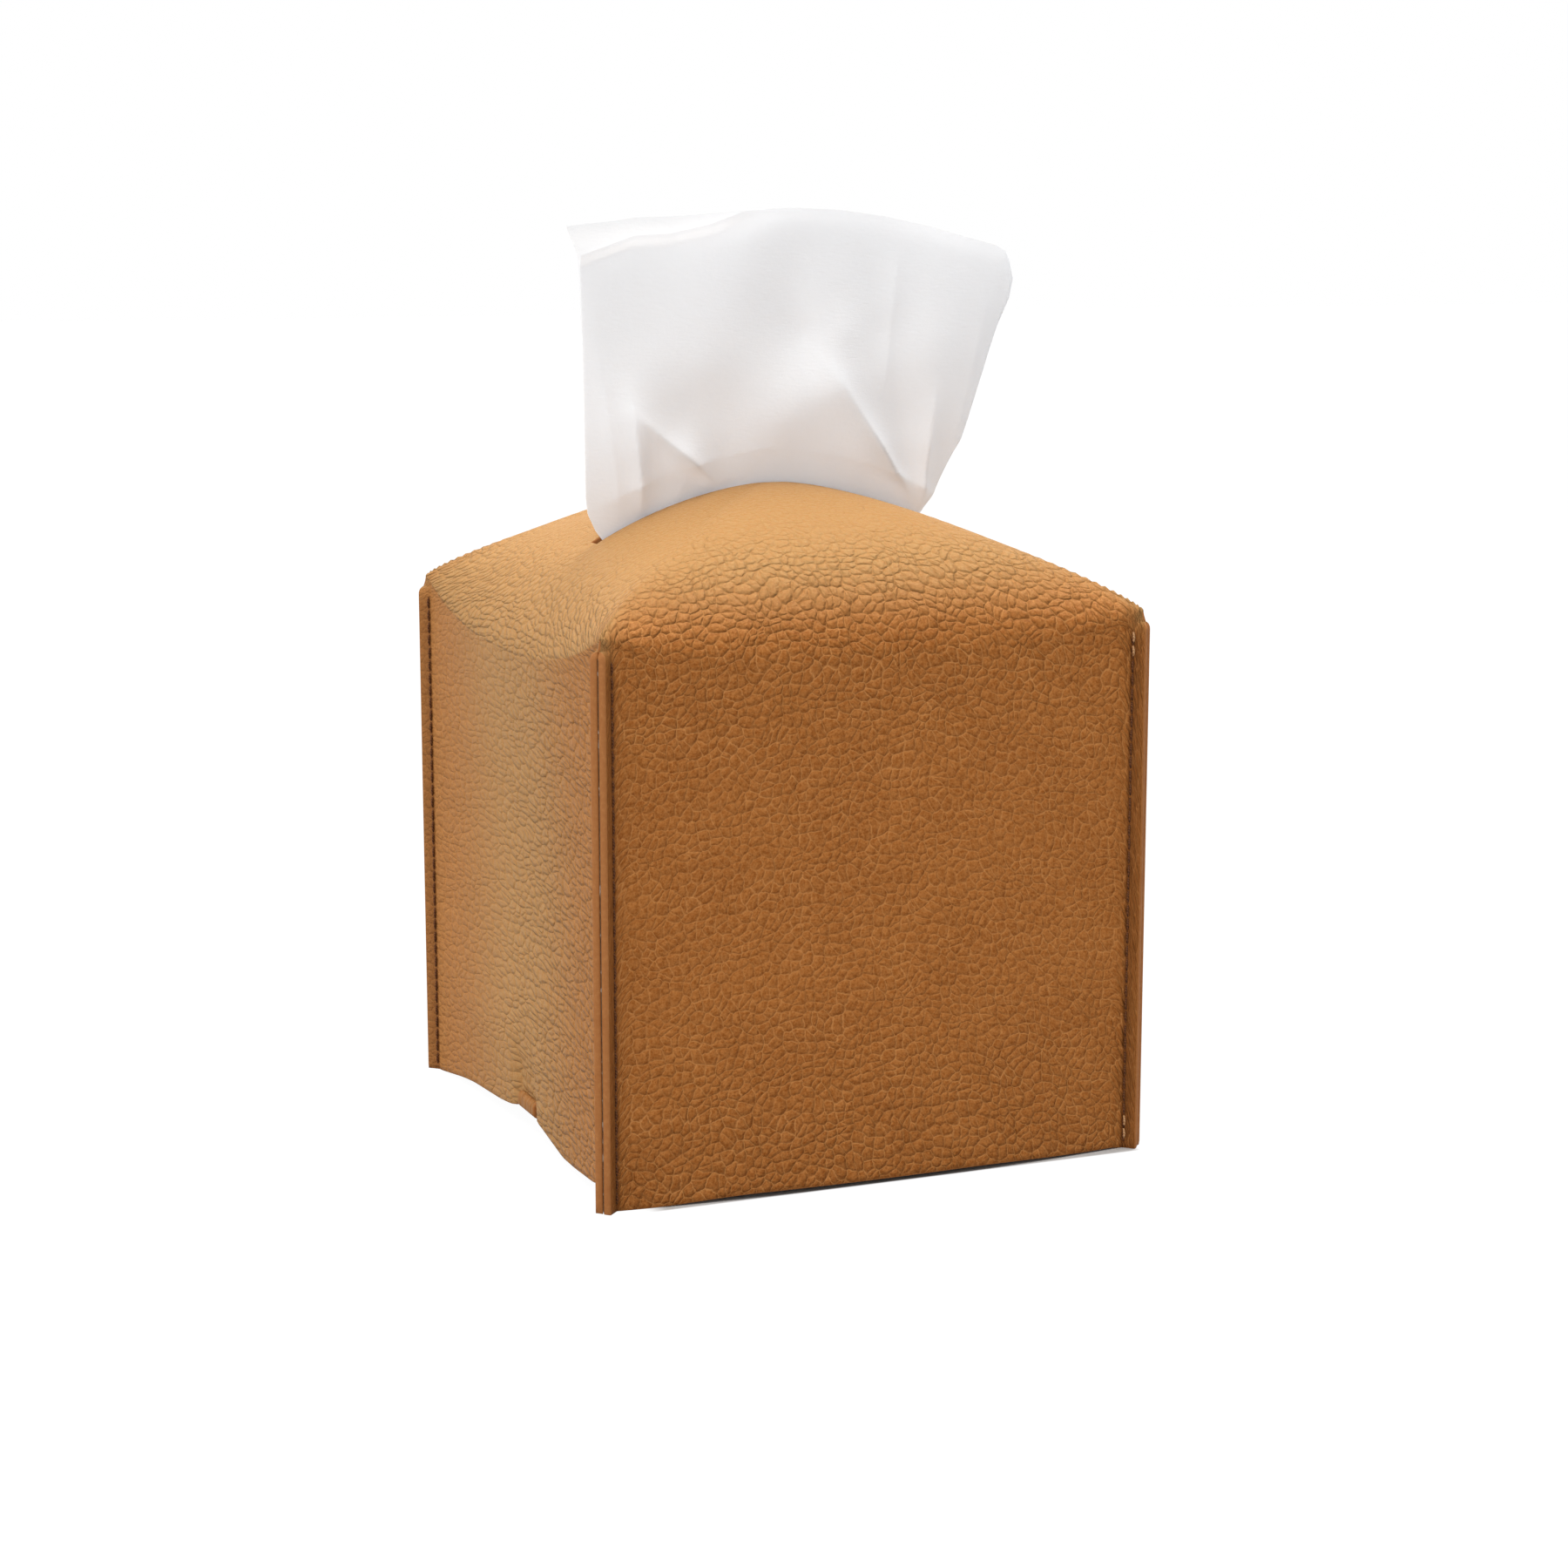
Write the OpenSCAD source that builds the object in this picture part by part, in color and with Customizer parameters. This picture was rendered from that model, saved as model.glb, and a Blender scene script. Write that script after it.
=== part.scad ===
// Soft square cover for a cube tissue carton. One cross-shaped blank of coated leather
// makes the roof and all four panels. Its seam allowances stand outwards at the corners,
// and a snapped belt under the open bottom keeps the carton in.
// X runs along the slot, the panel that the slot faces is at -Y, and Z = 0 is the table.

/* [Carton] */
// Width and depth of the cube carton
carton_w = 110; // [100:1:120]
// Height of the carton
carton_h = 115; // [100:1:125]
// Thickness of its card
card_t = 0.5; // [0.4:0.1:0.8]
// Length of the window in its top
window_l = 96; // [94:1:100]
// Width of that window
window_w = 36; // [20:1:50]
// Height of the pile of sheets that is left in the carton
pile_h = 46; // [30:1:60]
// Room between the folded sheets and the carton's card, on each side
sheet_room = 2; // [1:0.1:4]

/* [Cover] */
// Room between the carton and each panel
side_room = 7.2; // [6.4:0.1:10]
// How far the seams end above the carton's top
seam_over = 0; // [0:0.2:6]
// How far the middle of the roof stands above the seams' ends
roof_rise = 26; // [22:1:36]
// How far below the seams' ends the middle of a side panel starts to bend over
side_drop = 10; // [6:0.5:13]
// How far below the seams' ends the middle of the front and back starts to bend over
front_drop = 8; // [5:0.5:12]
// How deep the side panels sink in between the belt and the roof
side_hollow = 2.4; // [0:0.2:3]
// Thickness of the coated leather
leather_t = 1.5; // [1.2:0.1:1.8]
// Thickness of the woven backing that is bonded to it
backing_t = 0.3; // [0.2:0.05:0.4]
// Width of the seam allowance that stands out at each corner
flange_w = 3; // [2.5:0.1:4.5]
// How far the front and back hems bow outwards
front_bow = 3; // [0:0.5:4]
// How far the front and back hems lift off the table in the middle
front_lift = 0.3; // [0.2:0.1:1]

/* [Slot] */
// Length of the slot in the roof
slot_l = 86; // [80:1:90]
// Width of that slot
slot_w = 4; // [4:0.2:5]

/* [Stitching] */
// Length of one stitch
stitch_l = 3.1; // [2.4:0.1:4]
// Thickness of the thread
thread_d = 0.6; // [0.4:0.1:0.8]

/* [Belt] */
// Width of the belt
belt_w = 12; // [10:1:20]
// Thickness of the belt
belt_t = 1.2; // [1:0.1:1.6]
// Width of the belt's head, which can't slip back through its slit
head_w = 24; // [22:1:30]
// Height of that head above the slit
head_h = 12; // [8:1:20]
// Height of the slit above the hem
slit_up = 2; // [1.8:0.1:5]
// Place of the snap along the belt, from the middle
snap_x = 12; // [8:1:20]
// How far both belt ends reach past the snap
end_reach = 10; // [8:0.5:12]
// Widest angle that the long belt end opens to
belt_open = 120; // [90:5:150]

/* [Snap] */
// Diameter of the snap's cap
cap_d = 10; // [9:0.5:12]
// Thickness of the cap
cap_t = 1.2; // [0.8:0.1:1.4]
// Height of the socket
socket_h = 2; // [1.8:0.1:2.5]
// Diameter of the socket's hole
socket_d = 4.4; // [4:0.1:5]
// Diameter of the rivet shanks
shank_d = 2.8; // [2.4:0.1:3]
// Thickness of the post's head
post_t = 0.6; // [0.5:0.1:1]

/* [Tissue] */
// Height of the sheet above the middle of the roof
sheet_rise = 62; // [40:1:75]
// Thickness of the folded sheet
sheet_t = 1; // [0.8:0.1:1.2]
// Widest part of the sheet that stands out of the slot
fan_w = 105; // [90:1:108]
// How far the sheet can be drawn up
pull_out = 80; // [60:1:85]

/* [Hidden] */
$fn = 48;

// Clearances
floor_gap = 1.9;
belt_gap = 0.2;
head_gap = 0.3;
carton_gap = 1.4;
rest_gap = 0.3;
ply_gap = 0.2;
snap_gap = 0.15;
hole_gap = 0.1;
sheet_gap = 0.35;
overrun = 1;

// Leather levels and sizes
ply_t = leather_t + backing_t;
half = carton_w / 2 + side_room + ply_t;
sheet_w = carton_w - 2 * card_t - 2 * sheet_room;
slit_dent = belt_t + belt_gap;
side_pull = side_room - belt_t - head_gap - carton_gap - slit_dent;
belt_z = floor_gap + cap_t;
side_lift = belt_z + belt_t + belt_gap;
slit_h = belt_t + 3 * belt_gap;
slit_l = belt_w + 2 * belt_gap;
slit_top = side_lift + slit_up + slit_h;
neck_z = slit_top - slit_h / 2;
head_top = neck_z + head_h;
stud_base_t = 0.4;
snap_room = socket_h + belt_gap + stud_base_t;
tab_z = belt_z + belt_t + snap_room;
carton_z = tab_z + belt_t + post_t + rest_gap;
carton_top = carton_z + carton_h;
seam_h = carton_top + seam_over;
crown_h = seam_h + roof_rise;
spring_h = seam_h - side_drop;

// Shape of the roof, as powers of the distance from its middle
side_power = 1.65;
front_power = 2.1;
ridge_power = 1.4;
hollow_power = 1.5;
hollow_rise = 1.2;
spring_power = 2.5;
pull_power = 1.3;
hem_power = 6;
round_power = 5;

// Places of the grid lines on the blank
flange_taper = 2 * flange_w;
dent_top = 30;
valley = half - (ply_t + ply_gap / 2) * sqrt(2);
slit_line = slit_l / 2 * half / valley;
roof_steps = 3;
edge_steps = 6;
half_lines = concat([slot_w / 2],
                    [for (i = [0 : roof_steps]) slit_line + (slot_l / 2 - slit_line) * i / roof_steps],
                    [for (i = [1 : edge_steps]) slot_l / 2 + (half - slot_l / 2) * sin(90 * i / edge_steps)]);
hn = len(half_lines);
lines = [for (i = [0 : 2 * hn - 1]) i < hn ? -half_lines[hn - 1 - i] : half_lines[i - hn]];
n = len(lines);
rows = 7;
roof_count = n * n;
side_count = rows * (n + 2);
sheet_count = roof_count + 4 * side_count;

// Height at which a panel starts to bend over, k being 0 in its middle and 1 at a seam.
// Sides 0 and 2 are the panels at +X and -X, sides 1 and 3 those at +Y and -Y.
function spring_z(side, k) =
    seam_h - (side % 2 == 0 ? side_drop : front_drop) * (1 - pow(abs(k), spring_power));

function roof_power(side, k) =
    let (p = side % 2 == 0 ? side_power : front_power)
    p + (ridge_power - p) * pow(abs(k), spring_power);

// Height of the roof over x, y on the surface that lies d below the leather's face
function roof_z(x, y, d) =
    let (span = half - d,
         side = abs(y) > abs(x) ? 1 : 0,
         far = max(abs(x), abs(y)) / span,
         near = min(abs(x), abs(y)) / span,
         k = far > 0 ? near / far : 0,
         soft = pow(1 + pow(k, round_power), 1 / round_power) - 1,
         m = min(1, far * (1 + soft * (1 - far * far))),
         p = roof_power(side, k),
         z = spring_z(side, k))
    z + (crown_h - d - z) * pow(1 - pow(m, p), 1 / p);

// 1 around the belt's slit in the middle of a side panel, 0 further away
function near_slit(k) = exp(-pow(abs(k) * half / slit_l, hem_power));

// Height of the hem, which rises over the belt in the middle of a side panel
function hem_z(side, k) =
    side % 2 == 0 ? belt_z * (1 - pow(abs(k), hem_power)) + slit_dent * near_slit(k) :
    front_lift * (1 - k * k);

// How far a panel is drawn inwards at the height z: both sides by the carton's belt, with
// a dent that takes the belt where it passes over the hem, and a hollow higher up
function pull(side, k, z) =
    let (low = pow(max(0, 1 - z / spring_h), pull_power) * (1 - k * k),
         up = min(1, max(0, (z - head_top) / (spring_h - head_top))),
         dent = min(1, max(0, (dent_top - z) / (dent_top - slit_top))))
    side % 2 == 1 ? -front_bow * low :
    side_pull * low + slit_dent * dent * near_slit(k)
    + side_hollow * (1 - pow(abs(k), hollow_power)) * pow(sin(180 * up), hollow_rise);

// Turns a point of a panel from out, along, up to x, y, z
function on_side(side, out, along, z) =
    side == 0 ? [out, along, z] :
    side == 1 ? [-along, out, z] :
    side == 2 ? [-out, -along, z] : [along, -out, z];

function row_z(r, k, side) =
    let (top = spring_z(side, k) - flange_taper,
         hem = hem_z(side, k),
         slit = hem + slit_up + slit_h)
    r == rows ? hem :
    r == rows - 1 ? hem + slit_up :
    top + (slit - top) * (r - 1) / (rows - 3);

function roof_point(i, j, d) =
    let (s = (half - d) / half)
    [lines[i] * s, lines[j] * s, roof_z(lines[i] * s, lines[j] * s, d)];

// Column -1 and n are the outer edges of the seam allowances
function panel_point(side, r, c, d) =
    let (k = c < 0 ? -1 : c == n ? 1 : lines[c] / half,
         z = row_z(r, k, side),
         off = (ply_t - d + ply_gap / 2) / sqrt(2),
         tip = half + (flange_w - ply_t) / sqrt(2),
         seam = half - d - 2 * off)
    c < 0 ? on_side(side, tip + off, off - tip, z) :
    c == n ? on_side(side, tip + off, tip - off, z) :
    on_side(side, half - d - pull(side, k, z), k * seam, z);

function sheet_points(d) = concat(
    [for (i = [0 : n - 1]) for (j = [0 : n - 1]) roof_point(i, j, d)],
    [for (side = [0 : 3]) for (r = [1 : rows]) for (c = [-1 : n]) panel_point(side, r, c, d)]);

// Number of the point in row r, column c of a panel, whose row 0 is the roof's edge
function at_roof(i, j) = i * n + j;
function at(side, r, c) =
    let (e = min(max(c, 0), n - 1))
    r > 0 ? roof_count + side * side_count + (r - 1) * (n + 2) + c + 1 :
    side == 0 ? at_roof(n - 1, e) :
    side == 1 ? at_roof(n - 1 - e, n - 1) :
    side == 2 ? at_roof(0, n - 1 - e) : at_roof(e, 0);

function in_slot(i, j) =
    j == hn - 1 && abs(lines[i] + lines[i + 1]) / 2 < slot_l / 2;
function in_slit(side, r, c) =
    side % 2 == 0 && r == rows - 2 && c >= 0 && c < n - 1
    && abs(lines[c] + lines[c + 1]) / 2 < slit_line;

function roof_cell(i, j) =
    let (a = at_roof(i, j), b = at_roof(i, j + 1),
         c = at_roof(i + 1, j + 1), e = at_roof(i + 1, j))
    (i < hn) == (j < hn) ? [[a, b, c], [a, c, e]] : [[a, b, e], [b, c, e]];

function panel_cell(side, r, c) =
    let (a = at(side, r, c), b = at(side, r, c + 1),
         e = at(side, r + 1, c + 1), f = at(side, r + 1, c))
    r == 0 && (c < 0 || c == n - 1) ? [[a, e, f]] : [[a, b, e], [a, e, f]];

faces_out = concat(
    [for (i = [0 : n - 2]) for (j = [0 : n - 2])
        if (!in_slot(i, j)) each roof_cell(i, j)],
    [for (side = [0 : 3]) for (r = [0 : rows - 1]) for (c = [-1 : n - 1])
        if (!in_slit(side, r, c)) each panel_cell(side, r, c)]);

// Edges of the blank, in the order in which the outer faces run round it
outline_edges = [for (side = [0 : 3]) each concat(
    [for (r = [0 : rows - 1]) [at(side, r, n), at(side, r + 1, n)]],
    [for (c = [n : -1 : 0]) [at(side, rows, c), at(side, rows, c - 1)]],
    [for (r = [rows : -1 : 1]) [at(side, r, -1), at(side, r - 1, -1)]])];

slot_cells = [for (i = [0 : n - 2]) if (in_slot(i, hn - 1)) i];
slot_a = slot_cells[0];
slot_b = slot_cells[len(slot_cells) - 1] + 1;
slot_edges = concat(
    [for (i = slot_cells) [at_roof(i, hn), at_roof(i + 1, hn)]],
    [[at_roof(slot_b, hn), at_roof(slot_b, hn - 1)]],
    [for (i = slot_cells) [at_roof(i + 1, hn - 1), at_roof(i, hn - 1)]],
    [[at_roof(slot_a, hn - 1), at_roof(slot_a, hn)]]);

slit_cells = [for (c = [0 : n - 2]) if (in_slit(0, rows - 2, c)) c];
slit_a = slit_cells[0];
slit_b = slit_cells[len(slit_cells) - 1] + 1;
slit_edges = [for (side = [0, 2]) each concat(
    [for (c = slit_cells) [at(side, rows - 2, c), at(side, rows - 2, c + 1)]],
    [[at(side, rows - 2, slit_b), at(side, rows - 1, slit_b)]],
    [for (c = slit_cells) [at(side, rows - 1, c + 1), at(side, rows - 1, c)]],
    [[at(side, rows - 1, slit_a), at(side, rows - 2, slit_a)]])];

function rim(edges, m) = [for (e = edges)
    each [[e[1], e[0], e[0] + m], [e[1], e[0] + m, e[1] + m]]];
function flipped(edges) = [for (e = edges) [e[1], e[0]]];

// Layer of the blank between the depths d_out and d_in below the leather's face
module blank_layer(d_out, d_in) {
    m = sheet_count;
    polyhedron(
        points = concat(sheet_points(d_out), sheet_points(d_in)),
        faces = concat(
            faces_out,
            [for (f = faces_out) [f[2] + m, f[1] + m, f[0] + m]],
            rim(outline_edges, m),
            rim(flipped(slot_edges), m),
            rim(flipped(slit_edges), m)));
}

module leather_blank() color([0.66, 0.43, 0.24]) blank_layer(0, leather_t);

module backing_fabric() color([0.82, 0.74, 0.62]) blank_layer(leather_t, ply_t);

// Lockstitch of one corner seam: a run of thread on each side of the two plies,
// joined through them at every needle hole
stitch_in = 0.8;
stitch_bite = 0.1;
stitch_foot = 1.5;
stitch_n = floor((seam_h - flange_taper / 2 - stitch_foot - thread_d) / stitch_l);
stitch_r = half * sqrt(2) - ply_t + stitch_in;
run_out = ply_t + ply_gap / 2 + thread_d - stitch_bite;

module seam_thread(corner)
    color([0.36, 0.16, 0.08])
    rotate([0, 0, 45 + 90 * corner])
    translate([stitch_r, 0, stitch_foot])
    rotate([90, 0, 90])
    linear_extrude(height = thread_d, center = true)
    difference() {
        translate([-run_out, 0]) square([2 * run_out, stitch_n * stitch_l + thread_d]);
        for (i = [0 : stitch_n - 1])
            translate([thread_d - run_out, i * stitch_l + thread_d])
                square([2 * (run_out - thread_d), stitch_l - thread_d]);
    }

// Belt: each end has a head inside the panel, comes out through the slit,
// goes down over the hem and runs in under the carton
bend_r = 0.75 * belt_t;
bend_steps = 4;
head_x = half - ply_t - pull(0, 0, neck_z) - head_gap - belt_t / 2;
drop_x = half - pull(0, 0, slit_top) + belt_gap + belt_t / 2;
hinge_x = carton_w / 2;
hinge_gap = 0.2;
run_z = belt_z + belt_t / 2;
jog_in = snap_x + end_reach + 4 * bend_r;
jog_out = jog_in + 2 * snap_room + 4 * bend_r;

function unit(v) = v / norm(v);
function across(a, b) = let (u = unit(b - a)) [-u[1], u[0]];

// Path with every inner corner rounded to the radius r
function rounded(path, r) = [for (i = [0 : len(path) - 1])
    each i == 0 || i == len(path) - 1 ? [path[i]] :
        let (u = unit(path[i - 1] - path[i]), v = unit(path[i + 1] - path[i]),
             bend = acos(u * v), reach = r / tan(bend / 2),
             hub = path[i] + unit(u + v) * r / sin(bend / 2),
             a = path[i] + u * reach - hub, b = path[i] + v * reach - hub)
        [for (s = [0 : bend_steps])
            hub + (a * sin((1 - s / bend_steps) * (180 - bend))
                   + b * sin(s / bend_steps * (180 - bend))) / sin(180 - bend)]];

// Outline of a strip of thickness t along a path
function ribbon(path, t) =
    let (last = len(path) - 1,
         off = [for (i = [0 : last])
             let (u = across(path[max(i - 1, 0)], path[max(i, 1)]),
                  v = across(path[min(i, last - 1)], path[min(i + 1, last)]))
             (u + v) / (1 + u * v) * t / 2])
    concat([for (i = [0 : last]) path[i] + off[i]],
           [for (i = [last : -1 : 0]) path[i] - off[i]]);

module belt_profile(path)
    rotate([90, 0, 0])
    linear_extrude(height = belt_w, center = true)
    polygon(ribbon(rounded(path, bend_r), belt_t));

module belt_head()
    translate([head_x - belt_t / 2, -head_w / 2, neck_z - belt_t / 2])
    cube([belt_t, head_w, head_top - neck_z + belt_t / 2]);

wrap_path = [[head_x, head_top], [head_x, neck_z], [drop_x, neck_z], [drop_x, run_z]];

module belt_anchor()
    color([0.62, 0.4, 0.22]) mirror([1, 0, 0]) {
        belt_profile(concat(wrap_path, [[hinge_x, run_z]]));
        belt_head();
    }

module rivet_hole(z)
    translate([snap_x, 0, z - overrun])
    cylinder(h = belt_t + 2 * overrun, d = shank_d + 2 * hole_gap);

// Outline of a belt end seen from above, from x to its round tip
module belt_plan(x, tip) {
    r = belt_w / 2;
    dir = tip > x ? 1 : -1;
    translate([min(x, tip - dir * r), -r]) square([abs(tip - dir * r - x), belt_w]);
    translate([tip - dir * r, 0]) circle(r);
}

module belt_strap()
    color([0.68, 0.45, 0.26])
    difference() {
        translate([0, 0, belt_z]) linear_extrude(height = belt_t)
            belt_plan(hinge_gap - hinge_x, snap_x + end_reach);
        rivet_hole(belt_z);
    }

module belt_tab()
    color([0.6, 0.38, 0.2])
    difference() {
        union() {
            intersection() {
                belt_profile(concat(wrap_path, [[jog_out, run_z],
                    [jog_in, tab_z + belt_t / 2], [snap_x - end_reach, tab_z + belt_t / 2]]));
                linear_extrude(height = seam_h) belt_plan(half + belt_w, snap_x - end_reach);
            }
            belt_head();
        }
        rivet_hole(tab_z);
    }

// Snap: the cap's shank holds the socket on the strap, the post's holds the stud on the tab
floor_t = 0.5;
lip_t = 0.2;
lip_w = 0.4;
wall_t = 2.4;
dome_steps = 8;
edge_share = 0.3;
socket_z = belt_z + belt_t;
nub_t = 0.4;
nub_d = socket_d - 2 * snap_gap;
stud_w = 2.2;
post_w = 2.6;

module snap_cap()
    color([0.72, 0.72, 0.74]) translate([snap_x, 0, 0]) {
        rotate_extrude() polygon(concat(
            [[0, belt_z], [cap_d / 2, belt_z]],
            [for (i = [0 : dome_steps])
                let (a = 90 * i / dome_steps)
                [cap_d / 2 * (cos(a) + edge_share * (1 - cos(a)) * cos(a)),
                 belt_z - cap_t * (edge_share + (1 - edge_share) * sin(a))]]));
        translate([0, 0, belt_z])
            cylinder(h = belt_t + floor_t + lip_t, d = shank_d);
        translate([0, 0, socket_z + floor_t])
            cylinder(h = lip_t, d = shank_d + 2 * lip_w);
    }

module snap_socket()
    color([0.66, 0.66, 0.68]) translate([snap_x, 0, socket_z])
    difference() {
        cylinder(h = socket_h, d = socket_d + 2 * wall_t);
        translate([0, 0, floor_t]) cylinder(h = socket_h, d = socket_d);
        translate([0, 0, -overrun])
            cylinder(h = socket_h, d = shank_d + 2 * hole_gap);
    }

module snap_stud()
    color([0.66, 0.66, 0.68]) translate([snap_x, 0, 0])
    difference() {
        union() {
            translate([0, 0, tab_z - stud_base_t])
                cylinder(h = stud_base_t, d = nub_d + 2 * stud_w);
            translate([0, 0, socket_z + floor_t + 2 * lip_t])
                cylinder(h = tab_z - socket_z - floor_t - 2 * lip_t, d = nub_d);
        }
        translate([0, 0, socket_z + floor_t + 2 * lip_t + nub_t])
            cylinder(h = tab_z, d = shank_d + 2 * hole_gap);
    }

module snap_post()
    color([0.72, 0.72, 0.74]) translate([snap_x, 0, 0]) {
        translate([0, 0, socket_z + floor_t + 2 * lip_t + nub_t + hole_gap])
            cylinder(h = tab_z + belt_t - socket_z - floor_t - 2 * lip_t - nub_t, d = shank_d);
        translate([0, 0, tab_z + belt_t]) cylinder(h = post_t, d = shank_d + 2 * post_w);
    }

// Carton, with a window in its top and doubled flaps at its bottom
module window(l, w, h)
    linear_extrude(height = h) {
        square([l - w, w], center = true);
        for (s = [-1, 1]) translate([s * (l - w) / 2, 0]) circle(w / 2);
    }

module carton()
    color([0.86, 0.87, 0.88]) translate([0, 0, carton_z])
    difference() {
        translate([-carton_w / 2, -carton_w / 2, 0]) cube([carton_w, carton_w, carton_h]);
        translate([card_t - carton_w / 2, card_t - carton_w / 2, 2 * card_t])
            cube([carton_w - 2 * card_t, carton_w - 2 * card_t, carton_h - 3 * card_t]);
        translate([0, 0, carton_h - card_t - overrun])
            window(window_l, window_w, card_t + 2 * overrun);
    }

film_t = 0.2;
film_edge = 5;
module window_film()
    color([0.9, 0.93, 0.95, 0.5])
    translate([0, 0, carton_top - card_t - film_t])
    difference() {
        linear_extrude(height = film_t)
            square([window_l + 2 * film_edge, window_w + 2 * film_edge], center = true);
        translate([0, 0, -overrun]) linear_extrude(height = film_t + 2 * overrun)
            square([slot_l, slot_w], center = true);
    }

// Pile of folded sheets, each with a round fold on one side
folds = 10;
fold_steps = 5;
fold_share = 0.5;
fold_t = pile_h / folds;
pile_w = sheet_w - fold_t * fold_share;
pile_z = carton_z + 2 * card_t;

module tissue_pile()
    color([0.95, 0.95, 0.94]) translate([0, 0, pile_z])
    rotate([90, 0, 0])
    linear_extrude(height = sheet_w, center = true)
    polygon([for (s = [1, -1]) for (f = [0 : folds - 1]) for (i = [0 : fold_steps])
        let (row = s > 0 ? f : folds - 1 - f,
             a = 180 * (s > 0 ? i : fold_steps - i) / fold_steps)
        [s * (pile_w / 2 + fold_t * fold_share / 2 * sin(a)),
         fold_t * (row + (1 - cos(a)) / 2)]]);

// Sheet that stands out of the slot. Its foot hangs straight down through the slot.
foot_gap = 1;
foot_l = slot_l * (half - ply_t) / half - 2 * foot_gap;
foot_z = pile_z + pile_h + rest_gap;
popup_y = -(sheet_gap + sheet_t) / 2;
next_y = (sheet_gap + sheet_t) / 2;
sheet_cols = 27;
fan_rows = 20;
fan_top = crown_h + sheet_rise;

// Shares of the sheet's width and height that its outline and folds take, seen from the front
left_share = 0.43;
lift_share = 0.35;
corner_share = 0.18;
left_drop_share = 0.08;
flare_share = 0.1;
flare_power = 0.62;
tip_share = 0.03;
swell_share = 0.06;
swell_power = 1.6;

// One row for each pleat: its foot, its top, the height of its top, its width and its depth
pleat_shares = [[0.12, 0.09, 0.5, 0.07, 0.035],
                [0.4, 0.13, 0.4, 0.08, 0.03],
                [0.95, 0.58, 0.42, 0.09, 0.04],
                [0.97, 0.88, 0.5, 0.06, 0.03]];

// Height of the fan's top edge, u running from 0 at its left end to 1 at its right
function fan_edge(u) =
    let (low = u < lift_share ? left_drop_share : corner_share,
         t = u < lift_share ? 1 - u / lift_share : (u - lift_share) / (1 - lift_share))
    fan_top - sheet_rise * low * pow(t, 2);

// Left and right edges of the sheet at the share v of its height above the roof
function fan_left(v) =
    -foot_l / 2 - (fan_w * left_share - foot_l / 2) * min(1, v / flare_share)
    - fan_w * tip_share * pow(v, hem_power);
function fan_right(v) =
    foot_l / 2 - 4 * foot_gap
    + (fan_w * (1 - left_share) - foot_l / 2 + 4 * foot_gap) * pow(v, flare_power);

// How far one pleat stands forwards, as a share of the fan's width
function pleat(u, v, p) =
    let (t = min(1, v / p[2]),
         reach = (u - p[0] - (p[1] - p[0]) * t) / p[3])
    p[4] * 4 * t * (1 - t) * exp(-reach * reach);
function pleats(u, v, i) =
    i < 0 ? 0 : pleat(u, v, pleat_shares[i]) + pleats(u, v, i - 1);

// The fan swells forwards on its left, where the sheet's fold is
function fan_y(u, v) =
    let (swell = swell_share * (1 - pow(1 - u, swell_power)) * (1 - pow(1 - v, 3)))
    popup_y - fan_w * (swell + pleats(u, v, len(pleat_shares) - 1));

function fan_point(u, v, off) =
    let (x = fan_left(v) + (fan_right(v) - fan_left(v)) * u,
         base = roof_z(min(max(x, -slot_l / 2), slot_l / 2), 0, 0))
    [x, fan_y(u, v) + off, base + (fan_edge(u) - base) * v];

function sheet_column(u, off) = concat(
    [[fan_left(0) + (fan_right(0) - fan_left(0)) * u, popup_y + off, foot_z]],
    [for (i = [0 : fan_rows]) fan_point(u, pow(i / fan_rows, 1.3), off)]);

module folded_sheet(front, back) {
    across_n = len(front[0]);
    m = len(front) * across_n;
    cells = [for (i = [0 : len(front) - 2]) for (j = [0 : across_n - 2]) i * across_n + j];
    polyhedron(
        points = concat([for (c = front) each c], [for (c = back) each c]),
        faces = concat(
            [for (a = cells) each [[a, a + 1, a + across_n + 1], [a, a + across_n + 1, a + across_n]]],
            [for (a = cells) each [[m + a, m + a + across_n + 1, m + a + 1],
                                   [m + a, m + a + across_n, m + a + across_n + 1]]],
            rim([for (j = [0 : across_n - 2]) [j, j + 1]], m),
            rim([for (j = [0 : across_n - 2])
                [m - across_n + j + 1, m - across_n + j]], m),
            rim([for (i = [0 : len(front) - 2])
                [(i + 1) * across_n, i * across_n]], m),
            rim([for (i = [0 : len(front) - 2])
                [(i + 1) * across_n - 1, (i + 2) * across_n - 1]], m)));
}

module popup_tissue()
    color([0.97, 0.97, 0.97])
    folded_sheet([for (i = [0 : sheet_cols]) sheet_column(i / sheet_cols, -sheet_t / 2)],
                 [for (i = [0 : sheet_cols]) sheet_column(i / sheet_cols, sheet_t / 2)]);

// Sheet that follows it, drawn up between the folds of the first
next_top = carton_top - card_t - film_t - 2 * foot_gap;
module next_tissue()
    color([0.93, 0.93, 0.93])
    translate([0, next_y, 0])
    rotate([90, 0, 0])
    linear_extrude(height = sheet_t, center = true)
    polygon([[-foot_l / 2, foot_z], [foot_l / 2, foot_z],
             [foot_l / 2 - foot_gap, next_top - foot_gap],
             [foot_gap, next_top], [foot_gap - foot_l / 2, next_top - 2 * foot_gap]]);

leather_blank();
backing_fabric();
seam_thread(2);  // seam_thread_front_left
seam_thread(3);  // seam_thread_front_right
seam_thread(1);  // seam_thread_back_left
seam_thread(0);  // seam_thread_back_right
belt_anchor();
belt_strap();
belt_tab();
snap_cap();
snap_socket();
snap_stud();
snap_post();
carton();
window_film();
tissue_pile();
popup_tissue();
next_tissue();
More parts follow.
